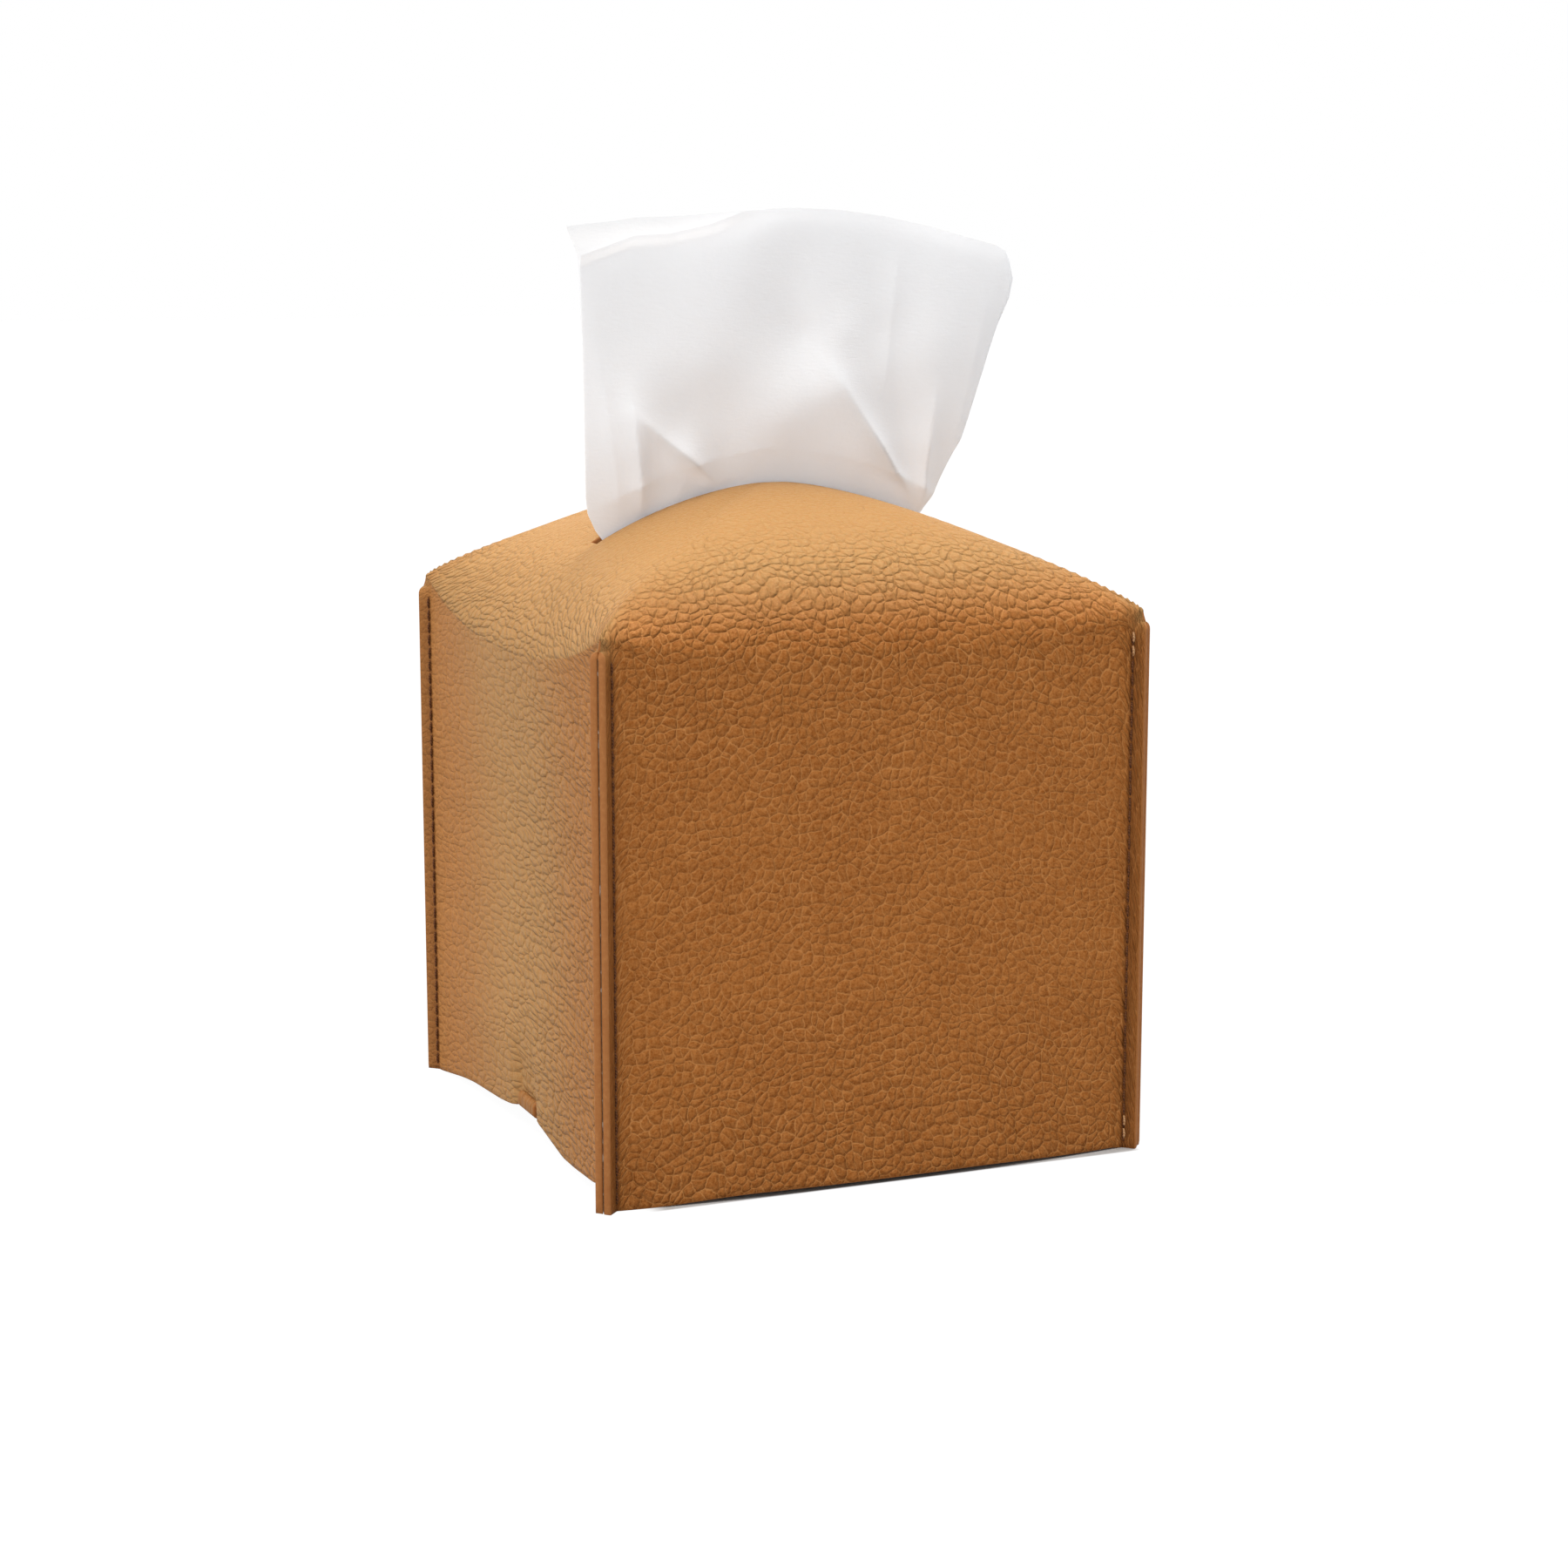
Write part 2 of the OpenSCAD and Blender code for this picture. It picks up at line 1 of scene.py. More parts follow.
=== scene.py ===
"""Looks of a soft leather cover for a cube tissue carton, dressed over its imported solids.

X runs along the slot, the panel at -Y faces the viewer, and the belt's strap starts at -X.
Sizes are written in millimetres and turned into metres where a mesh is made.
"""
import math

import bpy
import numpy as np
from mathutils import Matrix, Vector


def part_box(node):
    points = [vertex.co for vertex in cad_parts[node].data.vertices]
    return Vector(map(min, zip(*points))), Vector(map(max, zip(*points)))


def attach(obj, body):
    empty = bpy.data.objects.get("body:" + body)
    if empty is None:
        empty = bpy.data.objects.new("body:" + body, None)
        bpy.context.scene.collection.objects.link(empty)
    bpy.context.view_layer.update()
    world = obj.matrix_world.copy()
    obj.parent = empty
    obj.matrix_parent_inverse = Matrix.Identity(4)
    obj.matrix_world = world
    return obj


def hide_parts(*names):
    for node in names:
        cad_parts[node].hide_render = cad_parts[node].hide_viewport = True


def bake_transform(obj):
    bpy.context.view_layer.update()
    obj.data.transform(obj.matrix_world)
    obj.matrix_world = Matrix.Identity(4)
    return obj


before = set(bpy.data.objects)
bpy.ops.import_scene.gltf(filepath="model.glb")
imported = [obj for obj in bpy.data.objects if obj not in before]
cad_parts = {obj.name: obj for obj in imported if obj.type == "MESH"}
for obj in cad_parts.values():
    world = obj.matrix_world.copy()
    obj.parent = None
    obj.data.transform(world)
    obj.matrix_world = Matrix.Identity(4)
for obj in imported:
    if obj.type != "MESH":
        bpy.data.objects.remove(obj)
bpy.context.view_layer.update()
MM = 0.001


# ---------------------------------------------------------------- camera
CAMERA_PLACE, CAMERA_YAW, CAMERA_PITCH = (-277.1, -674.99, 209.69), 22.614, -10.202
SENSOR_W, LENS = 36, 72


def photo_camera():
    data = bpy.data.cameras.new("photo_camera")
    data.sensor_width, data.lens, data.clip_start = SENSOR_W, LENS, 0.02
    camera = bpy.data.objects.new("photo_camera", data)
    bpy.context.scene.collection.objects.link(camera)
    bpy.context.scene.camera = camera
    yaw, pitch = math.radians(CAMERA_YAW), math.radians(CAMERA_PITCH)
    ahead = (math.sin(yaw) * math.cos(pitch), math.cos(yaw) * math.cos(pitch), math.sin(pitch))
    camera.location = Vector(CAMERA_PLACE) * MM
    camera.rotation_euler = Vector(ahead).to_track_quat("-Z", "Y").to_euler()


photo_camera()


# ---------------------------------------------------------------- shader graphs
class Wire:
    """An output of a shader node. Arithmetic on it adds Math nodes."""

    def __init__(self, graph, socket):
        self.graph, self.socket = graph, socket

    def _math(self, operation, *values):
        return self.graph.add("ShaderNodeMath", {"operation": operation},
                              dict(enumerate(values)))

    def __add__(self, other):
        return self._math("ADD", self, other)

    def __sub__(self, other):
        return self._math("SUBTRACT", self, other)

    def __rsub__(self, other):
        return self._math("SUBTRACT", other, self)

    def __mul__(self, other):
        return self._math("MULTIPLY", self, other)

    __radd__, __rmul__ = __add__, __mul__

    def step(self, low, high):
        """0 below low, 1 above high and smooth between."""
        return self.graph.add("ShaderNodeMapRange", {"interpolation_type": "SMOOTHSTEP"},
                              {"Value": self, "From Min": low, "From Max": high})

    def most(self, other):
        return self._math("MAXIMUM", self, other)


class Graph:
    """The node tree of one material or of the world."""

    def __init__(self, tree):
        self.tree = tree
        tree.nodes.clear()

    def _feed(self, socket, value):
        if isinstance(value, Wire):
            self.tree.links.new(value.socket, socket)
        else:
            socket.default_value = value

    def add(self, kind, settings=None, inputs=None, out=0):
        """A node with its settings, then its inputs. Returns the output out."""
        node = self.tree.nodes.new(kind)
        for name, value in (settings or {}).items():
            setattr(node, name, value)
        for name, value in (inputs or {}).items():
            self._feed(node.inputs[name], value)
        if isinstance(out, int):
            live = [s for s in node.outputs if s.enabled]
            return Wire(self, live[out]) if live else None
        return Wire(self, node.outputs[out])

    def mix(self, factor, a, b):
        node = self.tree.nodes.new("ShaderNodeMix")
        node.data_type = "RGBA"
        for place, value in ((0, factor), (6, a), (7, b)):
            self._feed(node.inputs[place], value)
        return Wire(self, node.outputs[2])

    def vector(self, operation, a, b):
        return self.add("ShaderNodeVectorMath", {"operation": operation}, {0: a, 1: b})

    def place(self):
        """Place on the object, in metres."""
        return self.add("ShaderNodeTexCoord", out="Object")

    def noise(self, at, scale, detail=2.0, roughness=0.5, out=0):
        return self.add("ShaderNodeTexNoise", {}, {
            "Vector": at, "Scale": scale, "Detail": detail, "Roughness": roughness}, out)

    def aside(self, at, scale, reach):
        """Soft random steps aside, to half the reach at most."""
        off = self.vector("SUBTRACT", self.noise(at, scale, 1, 0.5, "Color"), (0.5, 0.5, 0.5))
        return self.add("ShaderNodeVectorMath", {"operation": "SCALE"}, {0: off, "Scale": reach})

    def cells(self, at, scale, feature, randomness):
        return self.add("ShaderNodeTexVoronoi", {"feature": feature, "voronoi_dimensions": "2D"},
                        {"Vector": at, "Scale": scale, "Randomness": randomness})

    def waves(self, scale, **more):
        """Diagonal waves over the object."""
        inputs = {"Vector": self.place(), "Scale": scale, **more}
        return self.add("ShaderNodeTexWave", {"bands_direction": "DIAGONAL"}, inputs)

    def field(self, name, out="Fac"):
        return self.add("ShaderNodeAttribute", {"attribute_name": name}, out=out)

    def bump(self, height, depth_mm):
        return self.add("ShaderNodeBump", {}, {
            "Height": height, "Distance": depth_mm * MM, "Strength": 1.0})

    def finish(self, shader):
        kind = "World" if isinstance(self.tree.id_data, bpy.types.World) else "Material"
        self.add(f"ShaderNodeOutput{kind}", {}, {"Surface": shader})


def material(look):
    """A material whose nodes the function look adds, returning its shader."""
    made = bpy.data.materials.new(look.__name__)
    made.use_nodes = True
    graph = Graph(made.node_tree)
    graph.finish(look(graph))
    return made


def surface(graph, colour, rough, normal=None, **fixed):
    inputs = {"Base Color": colour, "Roughness": rough}
    if normal is not None:
        inputs["Normal"] = normal
    inputs.update({name.replace("_", " "): value for name, value in fixed.items()})
    return graph.add("ShaderNodeBsdfPrincipled", {}, inputs)


TAN = (0.42, 0.146, 0.03, 1)
TAN_DEEP = (0.255, 0.072, 0.01, 1)
TAN_PALE = (0.58, 0.26, 0.085, 1)
# The next tan is the creases' pale tone together with a painted highlight on their edges.
TAN_CREASE_AND_HIGHLIGHT = (0.6, 0.265, 0.085, 1)
# The next tan is a lit copy of the leather: painted light for the roof and the side panels.
TAN_LIT = (0.44, 0.255, 0.1, 1)
# The next tan is painted shade, for the seams' valleys, the flanges and the belt.
TAN_SEAM_SHADE = (0.17, 0.055, 0.014, 1)
EDGE_TAN = (0.345, 0.128, 0.033, 1)
FIBRE = (0.74, 0.64, 0.5, 1)
PEBBLE_JITTER, SWAY, WOBBLE = 0.85, 2.2, 0.34  # the last two in pebble widths
CREASE_TURN, CREASE_CELL = math.radians(-50), (4.2, 1.9, 1)
PEBBLE_DEPTH, GLOSS = 0.92, 0.04
THROUGH = 0.42  # share of the light that passes through the paper


def pebbled_leather(g):
    """Domed pebbles parted by fine creases, with longer creases slanting across them. The creases are
    paler, partly in their own tone and partly as a painted highlight.
    """
    grain = g.field("grain", "Vector")
    # Fields: painted light that pales the leather, and painted shade along the seams.
    relief, rubbed, painted_light, seam = (g.field(name) for name in ("relief", "rubbed", "painted_light", "seam"))
    at = g.vector("ADD", grain, g.aside(grain, 0.22, SWAY))
    at = g.vector("ADD", at, g.aside(grain, 1.7, WOBBLE))
    slanted = g.add("ShaderNodeMapping", {"vector_type": "TEXTURE"},
                    {"Vector": at, "Rotation": (0, 0, CREASE_TURN), "Scale": CREASE_CELL})
    edge = g.cells(at, 1.0, "DISTANCE_TO_EDGE", PEBBLE_JITTER)
    centre = g.cells(at, 1.0, "F1", PEBBLE_JITTER)
    small_centre = g.cells(g.vector("ADD", at, (0.37, 0.61, 0)), 1.9, "F1", 0.9)
    long_edge = g.cells(slanted, 1.0, "DISTANCE_TO_EDGE", 1.0)
    patchy = g.noise(grain, 0.12, 2).step(0.3, 0.7)
    lined = g.noise(grain, 0.3, 2).step(0.35, 0.65)
    hide = g.noise(grain, 4.6, 3, 0.8)
    mottle = g.noise(grain, 2.0, 2, 0.6).step(0.36, 0.64)
    dome = 1 - centre * centre * 1.5
    small_dome = 1 - small_centre * small_centre * 1.5
    pillow = edge.step(-0.05, 0.3)
    crease = 1 - edge.step(0.0, 0.1)
    long_crease = (1 - long_edge.step(0.0, 0.03)) * lined
    height = ((dome * 0.62 + pillow * 0.34) * (1 - rubbed * 0.9) + small_dome * 0.2
              - long_crease * 0.06) * relief + hide * 0.14
    # pale crease lines: partly the leather's tone, partly painted highlight, weaker where painted
    # light already pales the leather
    crease_tone_and_highlight = (crease * (0.4 + 0.45 * lined) + long_crease * 0.28) * (0.4 + relief * 0.6)
    crease_tone_and_highlight = crease_tone_and_highlight * (1 - painted_light * 0.85)
    speck = hide.step(0.34, 0.64)
    deep = patchy * 0.2 + (1 - speck) * 0.45 + (1 - mottle) * 0.4
    base = g.mix(deep, TAN, TAN_DEEP)
    base = g.mix((speck * 0.2 + mottle * 0.16) * (1 - painted_light), base, TAN_PALE)
    # painted light: mix towards the lit tan where light falls strongly
    pale = g.mix((1 - speck) * 0.22 + (1 - mottle) * 0.2, TAN_LIT, TAN)
    base = g.mix(painted_light, base, pale)
    # painted highlight and pale tone of the creases
    base = g.mix(crease_tone_and_highlight * (1 - rubbed), base, TAN_CREASE_AND_HIGHLIGHT)
    # painted shade: the seam field darkens the leather in the seams' valleys, on the flanges and a
    # little on the belt
    colour = g.mix(seam, base, TAN_SEAM_SHADE)
    rough = 0.5 + crease * 0.12 - rubbed * 0.05
    return surface(g, colour, rough, g.bump(height, PEBBLE_DEPTH), Specular_IOR_Level=GLOSS)


def cut_leather(g):
    """Cut and dyed edge of the leather, with the pale core's fibres showing here and there."""
    at = g.place()
    rub = g.noise(at, 900, 4, 0.65)
    band = g.noise(at, 160, 2)
    colour = g.mix(rub.step(0.4, 0.8) * 0.3, EDGE_TAN, TAN_PALE)
    colour = g.mix(band.step(0.55, 0.8) * 0.3, colour, TAN_DEEP)
    return surface(g, colour, 0.72, g.bump(rub, 0.08), Specular_IOR_Level=0.25)


def woven_backing(g):
    """Tight plain weave, glued to the leather."""
    warp = g.waves(500)
    lint = g.noise(g.place(), 1400, 3)
    colour = g.mix(warp * 0.35 + lint * 0.3, (0.5, 0.4, 0.28, 1), FIBRE)
    return surface(g, colour, 0.9, g.bump(warp + lint, 0.06), Sheen_Weight=0.2)


def raw_edge_in_painted_shade(g):
    """Cut edge of the backing between the plies: painted dark as the shade in the gap, with pale
    loose fibres.
    """
    at = g.place()
    lint = g.noise(at, 1300, 3, 0.7)
    specks = g.noise(at, 700, 2).step(0.56, 0.68)
    # painted shade: near black for the dark gap between the plies
    colour = g.mix(lint.step(0.35, 0.7), (0.06, 0.025, 0.01, 1), (0.19, 0.09, 0.04, 1))
    colour = g.mix(specks * 0.75, colour, (0.7, 0.6, 0.5, 1))
    return surface(g, colour, 0.9, g.bump(lint, 0.15), Specular_IOR_Level=0.1)


def strands(g, dark, light):
    twist = g.waves(900, Distortion=1.5)
    return surface(g, g.mix(twist, dark, light), 0.7, g.bump(twist, 0.05), Specular_IOR_Level=0.2)


def twisted_thread(g):
    """Dark bonded thread, with the twist of its strands."""
    return strands(g, (0.06, 0.02, 0.006, 1), (0.17, 0.06, 0.02, 1))


def pale_thread(g):
    """The same thread in a paler brown."""
    return strands(g, (0.36, 0.17, 0.07, 1), (0.6, 0.36, 0.18, 1))


def plated_metal(g):
    """Nickel plate with fine turning marks and soft handling wear."""
    at = g.place()
    turned = g.noise(at, 2600, 2)
    haze = g.noise(at, 220, 3)
    colour = g.mix(haze * 0.5, (0.62, 0.6, 0.57, 1), (0.8, 0.79, 0.76, 1))
    return surface(g, colour, 0.2 + haze * 0.2, g.bump(turned, 0.01), Metallic=1.0)


def carton_card(g):
    """Coated white card, faintly mottled grey."""
    at = g.place()
    pulp = g.noise(at, 350, 4, 0.6)
    colour = g.mix(pulp * 0.4, (0.78, 0.79, 0.79, 1), (0.86, 0.87, 0.88, 1))
    return surface(g, colour, 0.42 + pulp * 0.15, g.bump(pulp, 0.03))


def clear_film(g):
    """Clear film, slightly wavy."""
    ripple = g.noise(g.place(), 60, 2)
    return surface(g, (0.93, 0.95, 0.96, 1), 0.12, g.bump(ripple, 0.2), Alpha=0.3)


def soft_tissue(g):
    """Creped two-ply paper: fine cross ridges, loose fibres, light coming through."""
    at = g.place()
    squashed = g.vector("MULTIPLY", at, (1.0, 1.0, 4.0))
    crepe = g.noise(squashed, 420, 3, 0.6)
    fibre = g.noise(at, 1500, 3, 0.7)
    cloud = g.noise(at, 90, 3)
    mottled = g.mix(cloud * 0.5 + fibre * 0.25, (0.922, 0.932, 0.95, 1), (0.957, 0.967, 0.985, 1))
    normal = g.bump(crepe + fibre * 0.5 + cloud * 0.8, 0.08)
    paper = surface(g, mottled, 0.92, normal, Specular_IOR_Level=0.15)
    through = g.add("ShaderNodeBsdfTranslucent", {}, {"Color": mottled, "Normal": normal})
    return g.add("ShaderNodeMixShader", {}, {0: THROUGH, 1: paper, 2: through})


LEATHER, CUT_EDGE, BACKING, RAW_EDGE_PAINTED_SHADE, THREAD, PALE_THREAD, NICKEL, CARD, FILM, TISSUE = (
    material(look) for look in (
        pebbled_leather, cut_leather, woven_backing, raw_edge_in_painted_shade, twisted_thread, pale_thread,
        plated_metal, carton_card, clear_film, soft_tissue))


# ---------------------------------------------------------------- meshes
def piece(name, points_mm, faces, finishes, finish_of=None, body="cover",
          stands_for=(), fields=None):
    """A mesh from points in millimetres. It can ride on a body and stand for CAD nodes."""
    mesh = bpy.data.meshes.new(name)
    mesh.from_pydata((np.asarray(points_mm, float) * MM).tolist(), [], faces)
    for finish in finishes:
        mesh.materials.append(finish)
    if finish_of is not None:
        mesh.polygons.foreach_set("material_index", np.asarray(finish_of, np.int32))
    mesh.polygons.foreach_set("use_smooth", np.full(len(faces), True))
    for label, values in (fields or {}).items():
        values = np.asarray(values, np.float32)
        kind, key = ("FLOAT_VECTOR", "vector") if values.ndim == 2 else ("FLOAT", "value")
        mesh.attributes.new(label, kind, "POINT").data.foreach_set(key, values.ravel())
    mesh.update()
    made = bpy.data.objects.new(name, mesh)
    bpy.context.scene.collection.objects.link(made)
    if body:
        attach(made, body)
    if stands_for:
        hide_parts(*stands_for)
    return made


def sharpen(made, degrees):
    """Hard edges where faces meet at more than this angle."""
    made.data.update()
    made.data.set_sharp_from_angle(angle=math.radians(degrees))


# ---------------------------------------------------------------- leather blank
HALF, LEATHER_T, PLY_T, PLY_GAP, FLANGE_W = 64.0, 1.68, 1.8, 0.06, 3.0
SEAM_H, CROWN_H, SIDE_DROP, FRONT_DROP = 124.0, 150.0, 10.0, 8.0
SPRING_H = SEAM_H - SIDE_DROP
SLOT_L, SLOT_W = 86.0, 4.0
SIDE_PULL, SIDE_HOLLOW, FRONT_BOW, FRONT_LIFT = 2.9, 2.4, 4.0, 0.08
BELT_W, BELT_T, BELT_Z = 12.0, 1.2, 3.1
SIDE_LIFT, SLIT_UP, SLIT_H, SLIT_L = 6.2, 1.1, 1.4, 12.4
SLIT_TOP, SLIT_DENT, DENT_TOP, HEAD_TOP = 8.7, 1.4, 30.0, 19.9
DENT_W = 7.6
VALLEY = HALF - (PLY_T + PLY_GAP / 2) * math.sqrt(2)
SLIT_LINE = SLIT_L / 2 * HALF / VALLEY
ARCH_Z, PINCH = 119.6, 0.2
HEM_GAPE = 1.1  # how far the middle of the front hem stands off the table


def smooth(t):
    t = np.clip(t, 0, 1)
    return t * t * (3 - 2 * t)


def grid_lines():
    near = np.linspace(SLOT_W / 2, SLIT_LINE, 4)
    middle = np.linspace(SLIT_LINE, SLOT_L / 2, 18)[1:]
    turn = SLOT_L / 2 + (HALF - SLOT_L / 2) * np.sin(np.radians(90) * np.arange(1, 17) / 16)
    half = np.concatenate([near, middle, turn])
    return np.concatenate([-half[::-1], half])


LINES = grid_lines()
N = len(LINES)


def spring_height(k, side):
    """Height at which a panel bends over into the roof, k being 0 in its middle."""
    drop = np.where(np.asarray(side) % 2 == 0, SIDE_DROP, FRONT_DROP)
    return SEAM_H - drop * (1 - np.abs(k) ** 2.5)


def roof_height(x, y, depth):
    far = np.maximum(np.abs(x), np.abs(y)) / (HALF - depth)
    near = np.minimum(np.abs(x), np.abs(y)) / (HALF - depth)
    k = near / np.maximum(far, 1e-6)
    soft = (1 + k ** 5) ** 0.2 - 1
    m = np.clip(far * (1 + soft * (1 - far * far)), 0, 1)
    front = np.abs(y) > np.abs(x)
    middle = np.where(front, 2.1, 1.65)
    power = middle + (1.4 - middle) * k ** 2.5
    z = spring_height(k, front)
    return z + (CROWN_H - depth - z) * (1 - m ** power) ** (1 / power)


def near_slit(k):
    return np.exp(-(np.abs(k) * HALF / DENT_W) ** 6)


def hem_height(side, k):
    """Height of the hem. It rises over the belt and next to the corner that faces the viewer.

    The middle of the front hem stands a little off the table.
    """
    if side % 2:
        gape = smooth((k + 0.97) / 0.5) * (1 - 0.6 * smooth((k - 0.3) / 0.6)) * smooth((1 - k) / 0.05)
        return FRONT_LIFT * (1 - k * k) + (HEM_GAPE * gape if side == 3 else 0)
    from_left = [-64, -60, -56, -48, -40, -30, -20, -12, -6.4, 6.4, 12, 20, 30, 40, 48, 56, 62, 64]
    lift = [5.4, 4.8, 3.8, 3.1, 2.4, 2.0, 3.3, 4.5, 5.2, 5.2, 4.1, 3.3, 2.9, 2.6, 1.9, 0.9, 0.2, 0]
    along = -HALF * k * (1 if side == 2 else -1)
    fine = np.linspace(-64, 64, 257)
    hem = np.interp(fine, from_left, lift)
    soft = np.convolve(np.pad(hem, 8, mode="edge"), np.hanning(17) / np.hanning(17).sum(), "valid")
    over_belt = np.exp(-(fine / 7.2) ** 8)
    soft = soft + (SIDE_LIFT - soft) * over_belt
    return np.interp(along, fine, soft)


def pull(side, k, z):
    """How far a panel is drawn in. The belt dents the sides, which sink in higher up too."""
    low = np.clip(1 - z / SPRING_H, 0, 1) ** 1.3 * (1 - k * k)
    if side % 2:
        return -FRONT_BOW * low
    up = np.clip((z - HEAD_TOP) / (SPRING_H - HEAD_TOP), 0, 1)
    dent = smooth((DENT_TOP - z) / (DENT_TOP - SLIT_TOP))
    hollow = SIDE_HOLLOW * (1 - np.abs(k) ** 1.5) * np.sin(math.pi * up) ** 1.2
    return SIDE_PULL * low + SLIT_DENT * dent * near_slit(k) + hollow


def on_side(side, out, along, z):
    return {0: (out, along, z), 1: (-along, out, z),
            2: (-out, -along, z), 3: (along, -out, z)}[side]


TOP_DROPS = np.array([0.5, 1.1, 1.7, 2.1, 2.4, 2.52, 2.7, 3.0, 3.4, 3.9, 4.45, 5.2])
MID_ROWS = 52
ROWS = len(TOP_DROPS) + MID_ROWS + 3


def row_heights(side, k):
    """Heights of a panel's rows under its roof edge, at the share k of its half width."""
    start = spring_height(k, side)
    hem = hem_height(side, k)
    hem[[0, -1]] = 0
    top = start - TOP_DROPS[-1]
    slit = hem + SLIT_UP + SLIT_H
    rows = [start - drop for drop in TOP_DROPS]
    rows += [top + (slit - top) * (i + 1) / (MID_ROWS + 1) for i in range(MID_ROWS)]
    return rows + [slit, hem + SLIT_UP, hem]


def corner_fold(z, depth):
    """How far the corner's valley, its fold and its two cut edges have opened at the height z.

    Above the seam allowances the leather is whole and pinched. Their cut edges part in an arch.
    """
    down = SEAM_H - z
    gap = PLY_T - depth + PLY_GAP / 2
    arch = math.sqrt(max(0.0, 1 - max(0.0, (z - ARCH_Z) / gap) ** 2)) if z < ARCH_Z + gap else 0.0
    return smooth(down / 3.0), PINCH + (1 - PINCH) * smooth(down / 4.2), arch


def corner_stand(span, tip, along, down):
    """How far the pinched leather above the seam stands out near a corner."""
    return (tip - span) * PINCH * np.exp(-(np.hypot(span - np.abs(along), down) / 3.2) ** 2)


def blank_layer(depth):
    """Points of one face of the blank: the roof's grid, then each panel's rows."""
    scale = (HALF - depth) / HALF
    gx, gy = np.meshgrid(LINES * scale, LINES * scale, indexing="ij")
    off = (PLY_T - depth + PLY_GAP / 2) / math.sqrt(2)
    tip = HALF + (FLANGE_W - PLY_T) / math.sqrt(2)
    span = HALF - depth
    height = roof_height(gx, gy, depth)
    inwards = np.hypot(span - np.maximum(np.abs(gx), np.abs(gy)), height - SEAM_H)
    stand = corner_stand(span, tip, np.minimum(np.abs(gx), np.abs(gy)), inwards)
    points = [np.stack([gx + np.sign(gx) * stand, gy + np.sign(gy) * stand, height], -1)
              .reshape(-1, 3)]
    k = np.concatenate([[-1], LINES / HALF, [1]])
    for side in range(4):
        for z in row_heights(side, k):
            valley, fold, arch = corner_fold(z[1], depth)
            out = span - pull(side, k, z)
            along = k * (span - 2 * off * valley)
            stand = corner_stand(span, tip, along, SEAM_H - z) * (1 - valley)
            out, along = out + stand, along + stand * np.sign(k)
            out[[0, -1]] = span + (tip - span) * fold + off * arch
            reach = span + (tip - span) * fold - off * arch
            along[0], along[-1] = -reach, reach
            points.append(np.stack(np.broadcast_arrays(*on_side(side, out, along, z)), -1))
    return np.concatenate(points)


def roof_index(i, j):
    return i * N + j


def panel_index(side, r, c):
    """Point in row r, column c of a panel. Row 0 is the roof's edge."""
    if r > 0:
        return N * N + side * ROWS * (N + 2) + (r - 1) * (N + 2) + c + 1
    e = min(max(c, 0), N - 1)
    return roof_index(*((N - 1, e), (N - 1 - e, N - 1), (0, N - 1 - e), (e, 0))[side])


def in_slot(i, j):
    return j == N // 2 - 1 and abs(LINES[i] + LINES[i + 1]) / 2 < SLOT_L / 2


def in_slit(side, r, c):
    return (side % 2 == 0 and r == ROWS - 2 and 0 <= c < N - 1
            and abs(LINES[c] + LINES[c + 1]) / 2 < SLIT_LINE)


def blank_faces():
    faces = [(roof_index(i, j), roof_index(i + 1, j), roof_index(i + 1, j + 1), roof_index(i, j + 1))
             for i in range(N - 1) for j in range(N - 1) if not in_slot(i, j)]
    for side in range(4):
        for r in range(ROWS):
            for c in range(-1, N):
                if in_slit(side, r, c):
                    continue
                a, b = panel_index(side, r, c), panel_index(side, r, c + 1)
                e, f = panel_index(side, r + 1, c + 1), panel_index(side, r + 1, c)
                faces.append((a, f, e) if a == b else (a, f, e, b))
    return faces


def open_edges(faces):
    """Directed edges that only one face has."""
    seen = {}
    for face in faces:
        for a, b in zip(face, face[1:] + face[:1]):
            seen[a, b] = True
    return [e for e in seen if (e[1], e[0]) not in seen]


BLANK_FACES = blank_faces()
BLANK_RIM = open_edges(BLANK_FACES)
RIM_POINTS = sorted({a for edge in BLANK_RIM for a in edge})
RIM_PLACE = {point: i for i, point in enumerate(RIM_POINTS)}


def panel_rows(side):
    """Point numbers of a panel's rows, the first along the roof's edge."""
    edge = np.array([panel_index(side, 0, c) for c in range(-1, N + 1)])
    return [edge] + [np.arange(N + 2) + panel_index(side, r, -1) for r in range(1, ROWS + 1)]


def walked(grid):
    """Distance along each column of the roof's grid, from its middle."""
    steps = np.linalg.norm(np.diff(grid, axis=0), axis=2)
    length = np.concatenate([np.zeros((1, N)), np.cumsum(steps, axis=0)])
    return length - (length[N // 2 - 1] + length[N // 2]) / 2


def flatten_panel(side, points, flat):
    """Carry the flat places on from the roof's edge, down a panel."""
    across = 1 - side % 2
    edge, *rows = panel_rows(side)
    known = points[edge][1:-1, across]
    order = np.argsort(known)
    last, walked_down = points[edge], np.zeros(N + 2)
    for row in rows:
        here = points[row]
        walked_down += np.linalg.norm(here - last, axis=1)
        last = here
        base = flat[edge].copy()
        base[:, across] = np.interp(here[:, across], known[order],
                                    flat[edge][1:-1, across][order])
        base[[0, -1], across] += FLANGE_W * np.sign(here[[0, -1], across])
        base[:, side % 2] += (1 if side < 2 else -1) * walked_down
        flat[row] = base


def flat_places(points):
    """Where each point lies on the flat blank, in mm."""
    flat = np.zeros((len(points), 2))
    roof = points[:N * N].reshape(N, N, 3)
    flat[:N * N] = np.stack([walked(roof), walked(roof.transpose(1, 0, 2)).T], -1).reshape(-1, 2)
    for side in range(4):
        flatten_panel(side, points, flat)
    return flat


